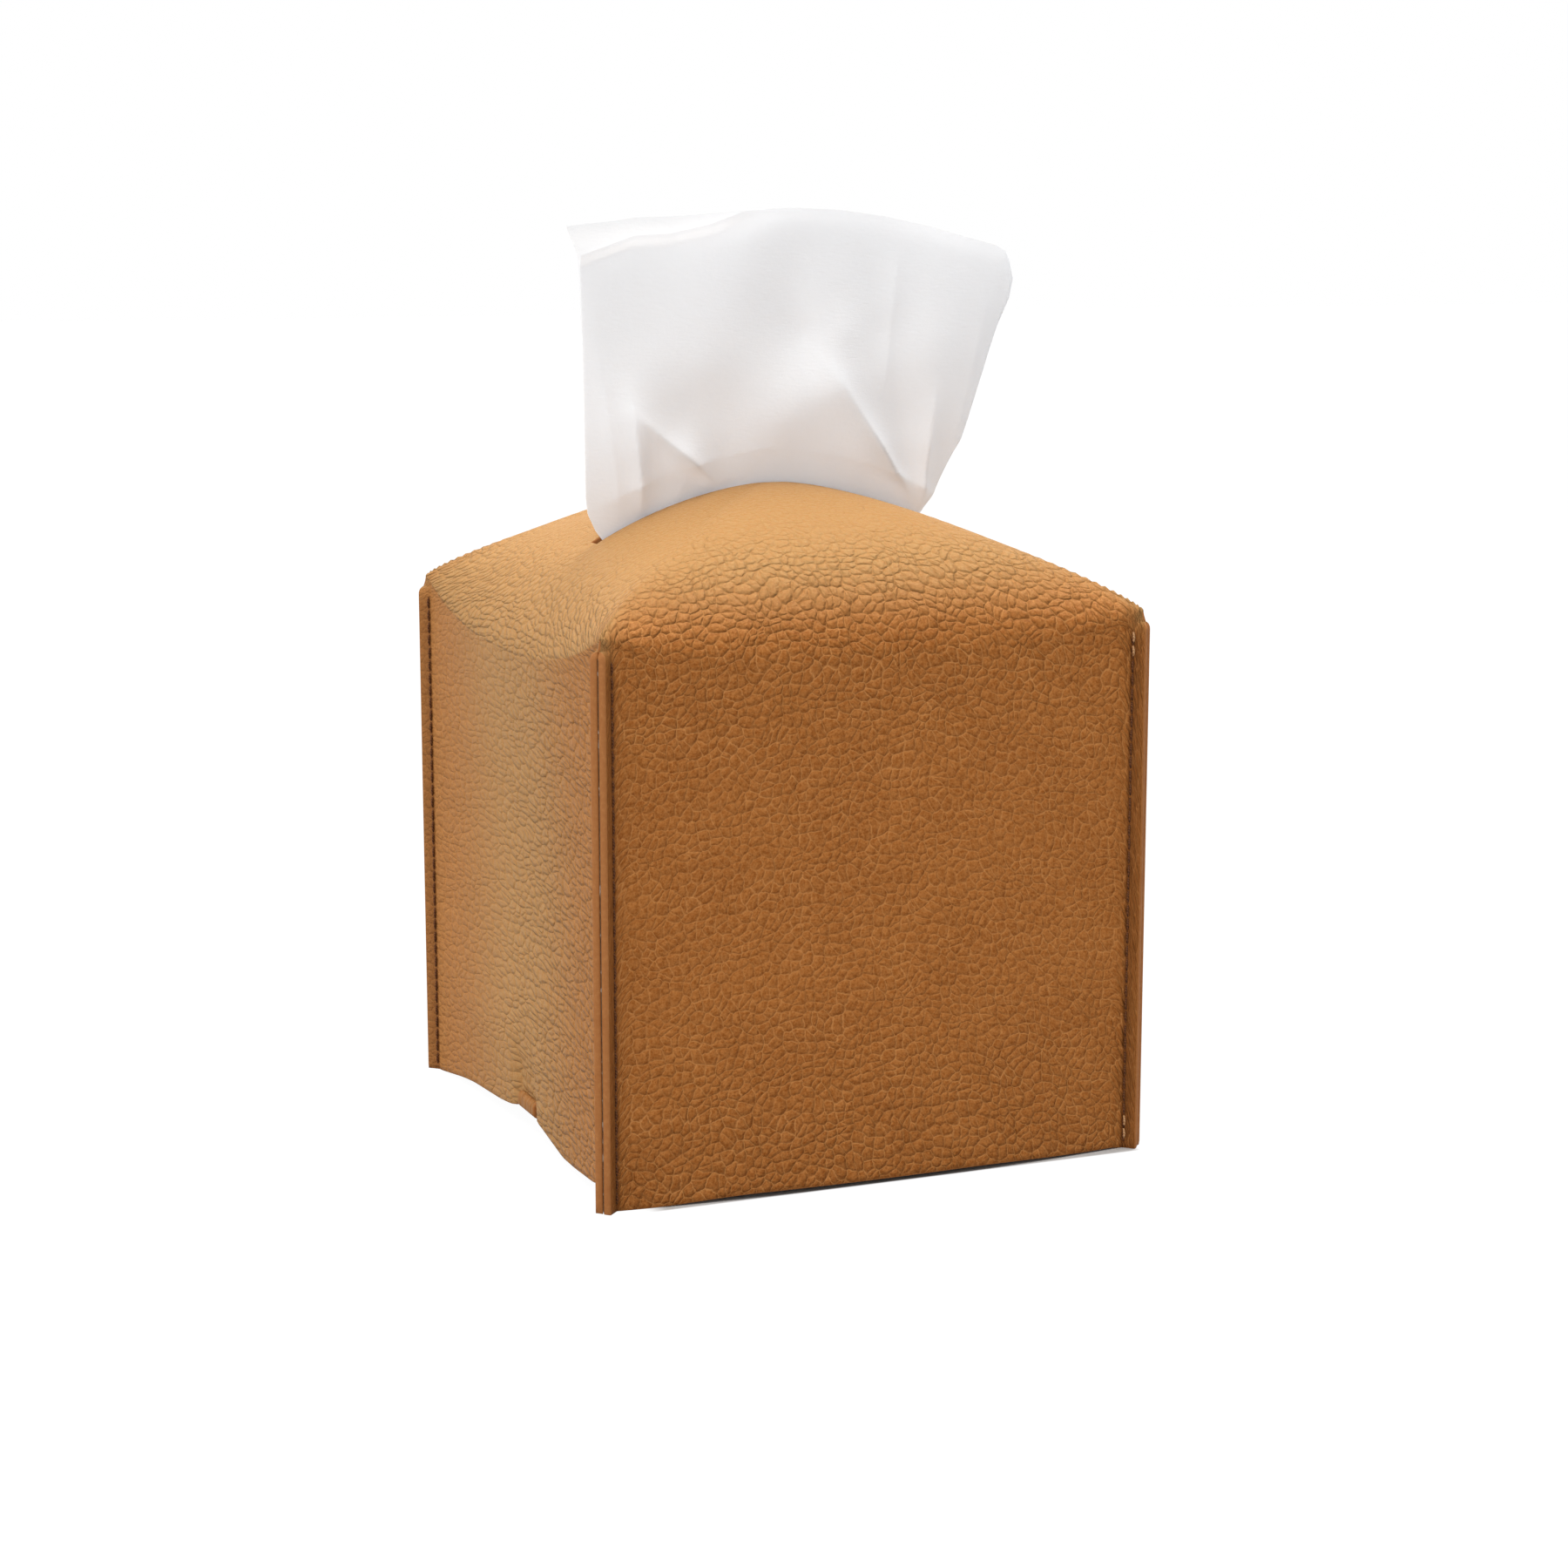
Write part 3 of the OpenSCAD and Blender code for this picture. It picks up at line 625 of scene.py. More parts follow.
def panel_fields(side, points, relief, rubbed, painted_light, seam):
    off_middle = np.abs(np.concatenate([[-1], LINES / HALF, [1]]))
    # painted shade, deepest in the seam's valley and on the flanges' faces
    seam_shade = 0.6 * np.exp(-((1 - off_middle) * VALLEY / 0.4) ** 2)
    seam_shade[[0, -1]] = 0.3
    for row in panel_rows(side)[1:]:
        _, y, z = points[row].T
        seam[row] = seam_shade * smooth((SEAM_H - 3 - z) / 5)
        if side % 2:
            relief[row] = 0.5 + 0.28 * smooth((z - 84) / 34) + 0.3 * smooth((50 - z) / 45)
        else:
            relief[row] = 0.45 + 0.6 * smooth((30 - y) / 60)
            rubbed[row] = 0.3 * smooth((z - 70) / 50)
            # painted light on the side panels, strongest in their middles
            painted_light[row] = 0.95 - 0.55 * smooth((off_middle - 0.1) / 0.8)
        relief[row[[0, -1]]] = 0.3


def blank_fields(points):
    """How high the pebbles stand, how rubbed each point is, how much painted light pales it and how
    much painted shade darkens it near a seam.

    Painted light makes the leather paler on the roof, on the side panels and along the pinched ridges
    at the corners.
    """
    relief, rubbed, painted_light, seam = np.zeros((4, len(points)))
    x, y, z = np.abs(points).T
    roof = slice(0, N * N)
    front = smooth((y[roof] - x[roof]) / 16 + 0.5)
    relief[roof] = 0.85
    rubbed[roof] = smooth((z[roof] - 126 - 8 * front) / 13)
    # painted light on the roof: full on the left and right, rising up the front and back bend
    painted_light[roof] = 1 - front * (1 - smooth((z[roof] - 120) / 18))
    for side in range(4):
        panel_fields(side, points, relief, rubbed, painted_light, seam)
    # painted highlight along the pinched ridge above each corner
    ridge = np.exp(-((x - y) / 2.2) ** 2) * smooth((z - 117) / 4) * smooth((136 - z) / 9)
    return {"relief": relief, "rubbed": rubbed, "painted_light": np.maximum(painted_light, ridge), "seam": seam}


PEBBLE_W, PEBBLE_L, SIDE_PEBBLE_W, SIDE_STRETCH = 2.35, 2.3, 1.8, 2.1
BEND_AT = 66  # from the flat blank's middle to where the pebbles change, on the roof's bend


def grain_place(flat):
    """Flat places in pebble widths. The side panels' pebbles are drawn out sideways."""
    past = np.clip(np.abs(flat) - BEND_AT, 0, None) * np.sign(flat)
    near = flat - past
    on_side_panel = smooth((np.abs(flat[:, 0]) - 58) / 26)
    across = near[:, 0] / PEBBLE_W + past[:, 0] / SIDE_PEBBLE_W
    along = near[:, 1] / (PEBBLE_L + SIDE_STRETCH * on_side_panel) + past[:, 1] / PEBBLE_L
    return np.stack([across, along, np.zeros(len(flat))], -1)


def edge_directions(points, across):
    """Directions away from the blank at each point of its open edges."""
    centre, count = np.zeros((len(RIM_POINTS), 3)), np.zeros(len(RIM_POINTS))
    for face in BLANK_FACES:
        places = [RIM_PLACE[v] for v in face if v in RIM_PLACE]
        if places:
            middle = points[list(face)].mean(axis=0)
            for place in places:
                centre[place] += middle
                count[place] += 1
    run = np.zeros((len(RIM_POINTS), 3))
    for a, b in BLANK_RIM:
        run[RIM_PLACE[a]] += points[b] - points[a]
        run[RIM_PLACE[b]] += points[b] - points[a]
    away = points[RIM_POINTS] - centre / count[:, None]
    for drop in (run, across):
        unit = drop / np.maximum(np.linalg.norm(drop, axis=1), 1e-6)[:, None]
        away -= (away * unit).sum(axis=1)[:, None] * unit
    return away / np.maximum(np.linalg.norm(away, axis=1), 1e-6)[:, None]


def blank_piece(name, outer, inner, finishes, node, bulge, sink, fields=None):
    """One layer of the blank. Its cut edges bulge out round, or lie sunk back."""
    outer, inner = outer.copy(), inner.copy()
    across = inner[RIM_POINTS] - outer[RIM_POINTS]
    away = edge_directions(outer, across)
    outer[RIM_POINTS] -= away * sink
    inner[RIM_POINTS] -= away * sink
    shares = (0.12, 0.35, 0.65, 0.88)
    rows = [outer[RIM_POINTS] + across * t + away * bulge * math.sqrt(4 * t * (1 - t))
            for t in shares]
    count, m = len(outer), len(RIM_POINTS)

    def level(point, step):
        if step == 0:
            return point
        return point + count if step > len(shares) else 2 * count + (step - 1) * m + RIM_PLACE[point]

    faces = list(BLANK_FACES) + [tuple(i + count for i in reversed(f)) for f in BLANK_FACES]
    finish_of = [0] * len(faces)
    for a, b in BLANK_RIM:
        for step in range(len(shares) + 1):
            faces.append((level(b, step), level(a, step), level(a, step + 1), level(b, step + 1)))
            finish_of.append(len(finishes) - 1)
    spread = {label: np.concatenate([values, values] + [values[RIM_POINTS]] * len(shares))
              for label, values in (fields or {}).items()}
    made = piece(name, np.concatenate([outer, inner] + rows), faces, finishes, finish_of,
                 stands_for=[node], fields=spread)
    sharpen(made, 55)


def dress_blank():
    outer, core, inside = blank_layer(0), blank_layer(LEATHER_T), blank_layer(PLY_T)
    fields = blank_fields(outer)
    fields["grain"] = grain_place(flat_places(outer))
    blank_piece("cover_leather", outer, core, [LEATHER, CUT_EDGE], "leather_blank", 0.3, 0.0, fields)
    blank_piece("cover_backing", core, inside, [BACKING, RAW_EDGE_PAINTED_SHADE], "backing_fabric", 0.0, 0.15)


dress_blank()


# ---------------------------------------------------------------- skins, tubes
def skin(rows, m, closed=True):
    """Faces between rows of m points each. The rows are closed rings, or open."""
    return [(i * m + j, i * m + (j + 1) % m, (i + 1) * m + (j + 1) % m, (i + 1) * m + j)
            for i in range(rows - 1) for j in range(m if closed else m - 1)]


def capped_skin(rows, m):
    return skin(rows, m) + [tuple(reversed(range(m))), tuple(range((rows - 1) * m, rows * m))]


def tube(path, radii, sides=7):
    """Points and faces of a round tube with closed ends."""
    ahead = np.gradient(path, axis=0)
    ahead /= np.linalg.norm(ahead, axis=1)[:, None]
    side = np.cross(ahead, [0.3, 0.2, 1.0])
    side /= np.linalg.norm(side, axis=1)[:, None]
    turn = np.arange(sides) * 2 * math.pi / sides
    rings = [p + r * (np.cos(turn)[:, None] * u + np.sin(turn)[:, None] * w)
             for p, r, u, w in zip(path, radii, side, np.cross(ahead, side))]
    points = np.concatenate(rings + [path[:1], path[-1:]])
    faces, last = skin(len(path), sides), (len(path) - 1) * sides
    start, end = len(points) - 2, len(points) - 1
    for s in range(sides):
        n = (s + 1) % sides
        faces += [(start, n, s), (end, last + s, last + n)]
    return points, faces


def joined(parts):
    """Several pairs of points and faces as one pair."""
    points, faces, count = [], [], 0
    for p, f in parts:
        points.append(p)
        faces += [tuple(i + count for i in face) for face in f]
        count += len(p)
    return np.concatenate(points), faces


# ---------------------------------------------------------------- seams
STITCH_L, THREAD_R, STITCH_FOOT = 3.1, 0.27, 1.5
STITCH_R = HALF * math.sqrt(2) - PLY_T + 0.35
STITCH_N = 38


def fold_face(z):
    """How far the seam allowance's face lies from the corner's middle plane at the stitches."""
    valley, fold, arch = corner_fold(z, 0.0)
    gap = PLY_T + PLY_GAP / 2
    start = HALF * math.sqrt(2) - gap * valley
    end = HALF * math.sqrt(2) + (FLANGE_W - PLY_T) * fold
    share = (STITCH_R - start) / (end - start)
    return gap * (valley + (arch - valley) * min(1, max(0, share)))


def stitch(low, high, way, lean=0.0, lift=0.0):
    """One stitch, from hole to hole, bowed away from the leather on the side way."""
    t = np.linspace(0, 1, 7)
    up = low + (high - low) * t
    face = np.array([fold_face(z) for z in up])
    bow = face + 0.34 * np.sin(math.pi * t) ** 0.6 - 0.1 + lift
    path = np.stack([STITCH_R + lean * np.sin(math.pi * t), way * bow, up], -1)
    return tube(path, THREAD_R * (0.75 + 0.25 * np.sin(math.pi * t)))


def turned(points, corner):
    """Points of a seam, made on the X axis, turned to a corner."""
    a = math.radians(45 + 90 * corner)
    x, y = points[:, 0].copy(), points[:, 1].copy()
    return np.stack([x * math.cos(a) - y * math.sin(a), x * math.sin(a) + y * math.cos(a),
                     points[:, 2]], -1)


def seam(name, corner):
    rng = np.random.default_rng(corner + 3)
    parts = []
    for side in (-1, 1):
        for i in range(STITCH_N):
            low = STITCH_FOOT + i * STITCH_L + rng.uniform(-0.12, 0.12)
            parts.append(stitch(low + 0.1, low + STITCH_L - 0.4, side, rng.uniform(-0.08, 0.08)))
    points, faces = joined(parts)
    piece("stitches_" + name, turned(points, corner), faces, [THREAD],
          stands_for=["seam_thread_" + name])


def back_tacks(name, corner):
    """Lighter thread that locks the seam's first and last two stitches."""
    tacks = []
    for side in (-1, 1):
        for low in (STITCH_FOOT, STITCH_FOOT + (STITCH_N - 2) * STITCH_L):
            for i in range(2):
                a = low + i * STITCH_L + 0.6
                tacks.append(stitch(a, a + STITCH_L - 0.7, side, 0.28, 0.12))
    points, faces = joined(tacks)
    piece("back_tacks_" + name, turned(points, corner), faces, [PALE_THREAD])


for corner, name in ((2, "front_left"), (3, "front_right"), (1, "back_left"), (0, "back_right")):
    seam(name, corner)
back_tacks("front_right", 3)


# ---------------------------------------------------------------- belt
SNAP_X, END_REACH, HEAD_W, HINGE_X, TAB_Z = 12.0, 10.0, 24.0, 55.0, 6.9
HEAD_L, HEAD_RISE, BEND_R, SNAP_ROOM = 11.4, 11.5, 0.9, 2.6
NECK_Z = SIDE_LIFT + SLIT_UP + SLIT_H / 2
RUN_Z = BELT_Z + BELT_T / 2
HEAD_X = HALF - PLY_T - pull(0, 0, NECK_Z) - 0.3 - BELT_T / 2
DROP_X = HALF - pull(0, 0, SLIT_TOP) + 0.1 + BELT_T / 2
WRAP = [(HEAD_X, NECK_Z + HEAD_RISE), (HEAD_X, NECK_Z), (DROP_X, NECK_Z), (DROP_X, SIDE_LIFT - 0.7),
        (HINGE_X + 1, RUN_Z)]


def rounded(path, radius, steps=6):
    """A path in the X, Z plane with its corners rounded."""
    path = [np.array(p, float) for p in path]
    made = [path[0]]
    for before, at, after in zip(path, path[1:], path[2:]):
        u, v = before - at, after - at
        lu, lv = np.linalg.norm(u), np.linalg.norm(v)
        u, v = u / lu, v / lv
        bend = math.acos(np.clip(u @ v, -1, 1))
        reach = min(radius / math.tan(bend / 2), 0.45 * min(lu, lv))
        start, end = at + u * reach, at + v * reach
        made += [(1 - s) ** 2 * start + 2 * s * (1 - s) * at + s * s * end
                 for s in np.linspace(0, 1, steps + 1)]
    made.append(path[-1])
    return np.array(made)


def evenly(path, step):
    """The same path with points a step apart at most."""
    made = [path[0]]
    for a, b in zip(path, path[1:]):
        count = max(1, int(math.ceil(np.linalg.norm(b - a) / step)))
        made += [a + (b - a) * i / count for i in range(1, count + 1)]
    return np.array(made)


def half_width(s, length):
    """Half the belt's width at a distance s along it: a wide head, the belt, a round tip."""
    if s < HEAD_L:
        return HEAD_W / 2 - 0.8 * max(0, 1 - s / 2) ** 2
    w = BELT_W / 2 + (HEAD_W - BELT_W) / 2 * max(0, 1 - (s - HEAD_L) / 0.6)
    left = length - s
    if left < BELT_W / 2:
        w = min(w, math.sqrt(max(0.04, (BELT_W / 2) ** 2 - (BELT_W / 2 - left) ** 2)))
    return w


def band(way, across=14, corner=0.35):
    """The belt along a way in the X, Z plane, with a round bend at each corner."""
    path = evenly(rounded(way, BEND_R), 1.2)
    ahead = np.gradient(path, axis=0)
    ahead /= np.linalg.norm(ahead, axis=1)[:, None]
    up = np.stack([-ahead[:, 1], ahead[:, 0]], -1)
    arc = np.concatenate([[0], np.cumsum(np.linalg.norm(np.diff(path, axis=0), axis=1))])
    width = np.array([half_width(s, arc[-1]) for s in arc])
    quarter = [math.radians(a) for a in (70, 45, 20, -20, -45, -70)]
    ring = ([(t, 1, 0) for t in np.linspace(-1, 1, across)]
            + [(1, math.sin(a), math.cos(a)) for a in quarter]
            + [(t, -1, 0) for t in np.linspace(1, -1, across)]
            + [(-1, math.sin(a), math.cos(a)) for a in reversed(quarter)])
    rows = []
    for p, n, w in zip(path, up, width):
        for t, s, out in ring:
            y = t * (max(w - corner, 0.02) + out * corner)
            rows.append((p[0] + n[0] * s * BELT_T / 2, y, p[1] + n[1] * s * BELT_T / 2))
    m, faces, finish_of = len(ring), [], []
    for i in range(len(path) - 1):
        for j in range(m):
            n = (j + 1) % m
            faces.append((i * m + j, (i + 1) * m + j, (i + 1) * m + n, i * m + n))
            finish_of.append(0 if j < across - 1 or across + 5 < j < 2 * across + 5 else 1)
    last = (len(path) - 1) * m
    for j in range(across - 1):
        k = across + 6 + (across - 1 - j)
        faces.append((j, j + 1, k - 1, k))
        faces.append((last + j + 1, last + j, last + k, last + k - 1))
        finish_of += [1, 1]
    return np.array(rows), faces, finish_of


def belt_fields(points, shift):
    """The leather's fields on the belt. shift is in pebble widths."""
    place = np.stack([points[:, 0] / 2.2 + shift, points[:, 1] / 2.2, points[:, 2] * 0], -1)
    # The belt gets a little painted shade and some painted light, the same all over.
    return {"grain": place, "relief": np.full(len(points), 0.5), "rubbed": np.zeros(len(points)),
            "painted_light": np.full(len(points), 0.6), "seam": np.full(len(points), 0.3)}


def belts():
    """The long end, which opens at the left hem, and the short end, which stays."""
    points, faces, finish_of = band(WRAP + [(-(SNAP_X + END_REACH), RUN_Z)])
    points[:, 0] *= -1
    faces = [tuple(reversed(f)) for f in faces]
    long_end = piece("belt_long_end", points, faces, [LEATHER, CUT_EDGE], finish_of, body=None,
                     stands_for=["belt_anchor", "belt_strap"],
                     fields=belt_fields(points, 11))
    sharpen(long_end, 60)
    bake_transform(long_end)
    jog_in = SNAP_X + END_REACH + 4 * BEND_R
    jog_out = jog_in + 2 * SNAP_ROOM + 4 * BEND_R
    points, faces, finish_of = band(WRAP + [(jog_out, RUN_Z), (jog_in, TAB_Z + BELT_T / 2),
                                            (SNAP_X - END_REACH, TAB_Z + BELT_T / 2)])
    short_end = piece("belt_short_end", points, faces, [LEATHER, CUT_EDGE], finish_of,
                      stands_for=["belt_tab"], fields=belt_fields(points, 37))
    sharpen(short_end, 60)


belts()

for node, finish in (("snap_cap", NICKEL), ("snap_socket", NICKEL), ("snap_stud", NICKEL),
                     ("snap_post", NICKEL), ("window_film", FILM)):
    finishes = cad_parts[node].data.materials
    finishes.clear()
    finishes.append(finish)


# ---------------------------------------------------------------- carton
def rounded_box(low, high, radius, steps=3):
    """Points and faces of a box with rounded upright edges."""
    low, high = np.array(low, float), np.array(high, float)
    ring = []
    for cx, cy, start in ((1, 1, 0), (-1, 1, 90), (-1, -1, 180), (1, -1, 270)):
        for s in range(steps + 1):
            a = math.radians(start + 90 * s / steps)
            centre = np.where([cx > 0, cy > 0], high[:2] - radius, low[:2] + radius)
            ring.append(centre + radius * np.array([math.cos(a), math.sin(a)]))
    points = [(x, y, z) for z in (low[2], high[2]) for x, y in ring]
    return np.array(points), capped_skin(2, len(ring))


def stadium(length, width, steps=10):
    """Points round a slot with round ends."""
    r = width / 2
    ring = []
    for s in range(steps + 1):
        a = math.radians(-90 + 180 * s / steps)
        ring.append((length / 2 - r + r * math.cos(a), r * math.sin(a)))
    return np.array(ring + [(-x, -y) for x, y in ring])


def ring_at(ring, angle):
    """Where the ray at an angle from the middle leaves a ring of points round it."""
    d = np.array([math.cos(angle), math.sin(angle)])
    best = 0 * d
    for p, q in zip(ring, np.roll(ring, -1, axis=0)):
        e = q - p
        det = e[0] * d[1] - e[1] * d[0]
        if abs(det) < 1e-9:
            continue
        s = (p[1] * d[0] - p[0] * d[1]) / det
        hit = p + e * s
        if -1e-9 <= s <= 1 + 1e-9 and hit @ d > best @ d:
            best = hit
    return best


CARTON_W, CARTON_Z, CARTON_H, CARD_T = 110.0, 9.0, 115.0, 0.5
CARTON_R, CARD_SOFT, FLAP_GAP = 0.8, 0.25, 0.35
WINDOW_L, WINDOW_W = 96.0, 36.0


def carton():
    """Four card walls, a top with its window and the bottom's overlapping flaps."""
    h, top = CARTON_W / 2, CARTON_Z + CARTON_H
    box = rounded_box((-h, -h, CARTON_Z), (h, h, top), CARTON_R)[0]
    turn = np.linspace(0, 2 * math.pi, 97)[:-1]
    edge, hole = (np.array([ring_at(ring, a) for a in turn])
                  for ring in (box[len(box) // 2:, :2], stadium(WINDOW_L, WINDOW_W)))

    def level(ring, z, inset=0.0):
        return np.c_[ring * (1 - inset / h), np.full(len(turn), z)]

    rings = [level(edge, z, inset) for inset, z in (
        (CARD_SOFT, top), (0, top - CARD_SOFT), (0, CARTON_Z + CARD_SOFT), (CARD_SOFT, CARTON_Z))]
    shell = [level(hole, top), *rings, level(edge, CARTON_Z + 2 * CARD_T, CARD_T),
             level(edge, top - CARD_T, CARD_T), level(hole, top - CARD_T)]
    n, bottom_out, bottom_in = len(turn), len(rings), len(rings) + 1
    faces = []
    for a in range(len(shell)):
        b = (a + 1) % len(shell)
        if a != bottom_out:
            faces += [(a * n + i, b * n + i, b * n + (i + 1) % n, a * n + (i + 1) % n)
                      for i in range(n)]
    faces += [tuple(bottom_out * n + i for i in reversed(range(n))),
              tuple(bottom_in * n + i for i in range(n))]
    sharpen(piece("carton_walls", np.concatenate(shell), faces, [CARD],
                  stands_for=["carton"]), 35)
    flap_parts = []
    for s in (-1, 1):
        low = (-h + 0.6, min(s * FLAP_GAP, s * (h - 0.5)), CARTON_Z - 0.12)
        high = (h - 0.6, max(s * FLAP_GAP, s * (h - 0.5)), CARTON_Z + 0.05)
        flap_parts.append(rounded_box(low, high, 0.7))
    points, faces = joined(flap_parts)
    sharpen(piece("carton_bottom_flaps", points, faces, [CARD]), 35)


carton()


# ---------------------------------------------------------------- pile of sheets
def pile():
    low, high = (np.array(c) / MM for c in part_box("tissue_pile"))
    folds, steps = 30, 6
    step = (high[2] - low[2]) / folds
    outline = []
    rng = np.random.default_rng(5)
    jitter = rng.uniform(0.0, 0.9, folds * 2)
    for s in (1, -1):
        for f in range(folds):
            row = f if s > 0 else folds - 1 - f
            reach = high[0] - 0.2 - jitter[row if s > 0 else folds + row]
            for i in range(steps + 1):
                a = math.pi * (i if s > 0 else steps - i) / steps
                outline.append((s * (reach - step / 2 + step / 2 * math.sin(a)),
                                low[2] + step * (row + (1 - math.cos(a)) / 2)))
    ys = np.linspace(low[1] + 0.3, high[1] - 0.3, 12)
    points = [(x, y, z) for y in ys for x, z in outline]
    piece("folded_sheets", points, capped_skin(len(ys), len(outline)), [TISSUE],
          stands_for=["tissue_pile"])


pile()


# ---------------------------------------------------------------- sheets
FOOT_Z, POPUP_Y, NEXT_Y = 56.3, -0.675, 0.675
TUCK = 0.27  # half the gap of the sheet's turned-up foot
LAYER = 0.14  # half the gap between a sheet's two layers
FOOT_LEFT, FOOT_RIGHT = -40.8, 36.8
FOOT_H, FOOT_BEND = 18, 0.45
FAN_Z, FAN_TOP = 136, 212


SHEET_PLACES = np.array([
    (-46.3, 202.1, 1.5), (-32.9, 205.3, 3), (-25.3, 206.2, 3.5), (-14.5, 207.8, 5),
    (-2.7, 211.9, 6), (13.9, 211.4, 6), (28.7, 209.1, 5.5), (43.2, 205.5, 6.5), (56.6, 196.7, 6.5),
    (-45.9, 194.7, 1), (-28.1, 197.2, 3.2), (-7.6, 197.7, 5.5), (4.2, 196.3, 4.6),
    (14, 196.9, 5.6), (25.2, 196.2, 5), (36, 196.1, 6),
    (-45, 185, 0.8), (-31.5, 184.9, 2.5), (-14.6, 184.7, 5.2), (-2.9, 184.6, 4.2), (6.7, 184.4, 3.4),
    (16.1, 184.4, 6.2), (26.1, 184.2, 4.6), (38.1, 182.7, 6.8), (52.1, 183.9, 5.5),
    (-44.9, 174, 0.6), (-33.8, 173.9, 3), (-17.4, 176.3, 4.8), (-0.3, 174, 5), (11.5, 170.5, 7),
    (26.1, 174.8, 5), (39, 176, 6.6), (49.7, 171.6, 4),
    (-44.8, 164.9, 0.5), (-34.6, 165.1, 3), (-22.4, 166.4, 2.2), (-14, 166.2, 2.6), (1, 164, 5.4),
    (18.2, 163.6, 5.4), (31.9, 163.8, 3.2), (38.8, 166.4, 5), (47.9, 159.3, 2),
    (-44.8, 157.7, 0.4), (-34.9, 157.5, 1.8), (-27.7, 157.2, 0.6), (-21.1, 157.4, 2.2),
    (-12.2, 156.8, 1.2), (-5.3, 156.7, 2.4), (7.9, 156.3, 2), (25.1, 156.6, 3.6), (32.5, 153.5, 1.6),
    (38, 156.8, 2.8), (45.6, 155.2, 1),
    (-44.7, 147.8, 0.2), (-40.1, 137.4, 0), (-31.3, 142.1, 0.4), (-25.4, 144.8, -0.4),
    (-17.5, 148.2, -0.4), (-10.6, 148, 0.4), (1.1, 149.7, 0.2), (15.8, 147.5, 0.2),
    (27, 145.4, 0.2), (36.1, 143.2, 0.5), (38, 141.2, 0)])


def spline_basis(x, z, places):
    r2 = (x[..., None] - places[:, 0]) ** 2 + (z[..., None] - places[:, 1]) ** 2
    return r2 * np.log(r2 + 1e-6) / 2


def sheet_spline():
    """Weights of a thin-plate spline through the sheet's chosen places."""
    x, z, y = SHEET_PLACES.T
    n = len(x)
    system = np.zeros((n + 3, n + 3))
    system[:n, :n] = spline_basis(x, z, SHEET_PLACES) + 4.0 * np.eye(n)
    system[:n, n:] = np.stack([np.ones(n), x, z], -1)
    system[n:, :n] = system[:n, n:].T
    return np.linalg.solve(system, np.concatenate([y, np.zeros(3)]))


SHEET_WEIGHTS = sheet_spline()


def sharp_fold(xs, zs, start, end, height, left, right, rise, fall):
    """A crisp fold that stands forwards along a line and falls away on both sides of it."""
    (x0, z0), (x1, z1) = start, end
    dx, dz = x1 - x0, z1 - z0
    length = math.hypot(dx, dz)
    t = ((xs - x0) * dx + (zs - z0) * dz) / length ** 2
    s = ((xs - x0) * dz - (zs - z0) * dx) / length
    fade = np.clip((t + rise) / rise, 0, 1) * np.clip((1 + fall - t) / (0.5 + fall), 0, 1)
    fade = fade * fade * (3 - 2 * fade)
    return height * fade * np.exp(-(np.sqrt(s * s + 0.04) - 0.2) / np.where(s > 0, right, left))


def sheet_edges(front, z):
    """Left and right edge of the sheet's front or back layer at the height z."""
    left = np.interp(z, [55, 137, 139.8, 143.8, 147.8, 160.6, 181.2, 195.7, 201.5, 208.3],
                     [-40.8, -40.4, -42.6, -44.5, -45.0, -45.1, -45.4, -46.0, -46.4,
                      -46.4 if front else -48.6])
    right = np.interp(z, [55, 137, 141.5, 146, 152.1, 158.2, 164.3, 173.5, 179.6, 185.7, 191.8, 196.3,
                          201.0, 204.0],
                      [36.8, 36.8, 38.6, 41.3, 44.7, 48.0, 49.6, 52.2, 53.8, 55.7, 58.4, 59.1, 57.8,
                       56.0])
    return left, right


def top_edge(front, x):
    """Height of the sheet's upper edge. The front layer ends lower on the left."""
    back = np.interp(x, [-48.6, -43.5, -38.3, -33.1, -22.6, -12, -1.3, 4.1, 14.9, 26, 37.1, 48.4,
                         54.1, 59.1],
                     [208.2, 208.8, 209.3, 210.1, 210.5, 211.3, 212.1, 212.3, 211.9, 210.5, 208.3,
                      205.3, 203.9, 201.5])
    if not front:
        return back
    return np.minimum(back, np.interp(x, [-46, -34.2, -26.2, -17.4, -8, 60],
                                      [202.0, 206.2, 206.6, 208.5, 211.8, 240]))


# where each fold starts and ends, its height, the reach of its left and right sides, its fades
SHEET_FOLDS = [
    ((-31.4, 142), (-35.2, 169), 3.4, 2.6, 3.2, 0.05, 0.3),
    ((-10.4, 147), (-33.5, 165.4), 3.6, 3.6, 3.4, 0.05, 0.25),
    ((36.5, 142.6), (14.6, 172), 4.6, 6.5, 3.2, 0.05, 0.35),
    ((37.6, 142), (39.6, 168), 2.6, 3, 2.4, 0.05, 0.3),
    ((14, 174), (7.5, 197), 1.4, 9, 6, 0.5, 0.3),
    ((-30.5, 141), (-19, 149.5), 1.1, 1.1, 1.4, 0.1, 0.1),
    ((-24, 143.5), (-21, 152), 0.9, 1.0, 1.2, 0.1, 0.3),
    ((-38, 150), (-43.6, 189), 0.7, 2.0, 3.0, 0.3, 0.3),
    ((27, 176), (30, 203), 0.8, 4.0, 2.2, 0.4, 0.2),
    ((47, 163), (52.5, 191), 0.7, 3.0, 1.8, 0.4, 0.3)]


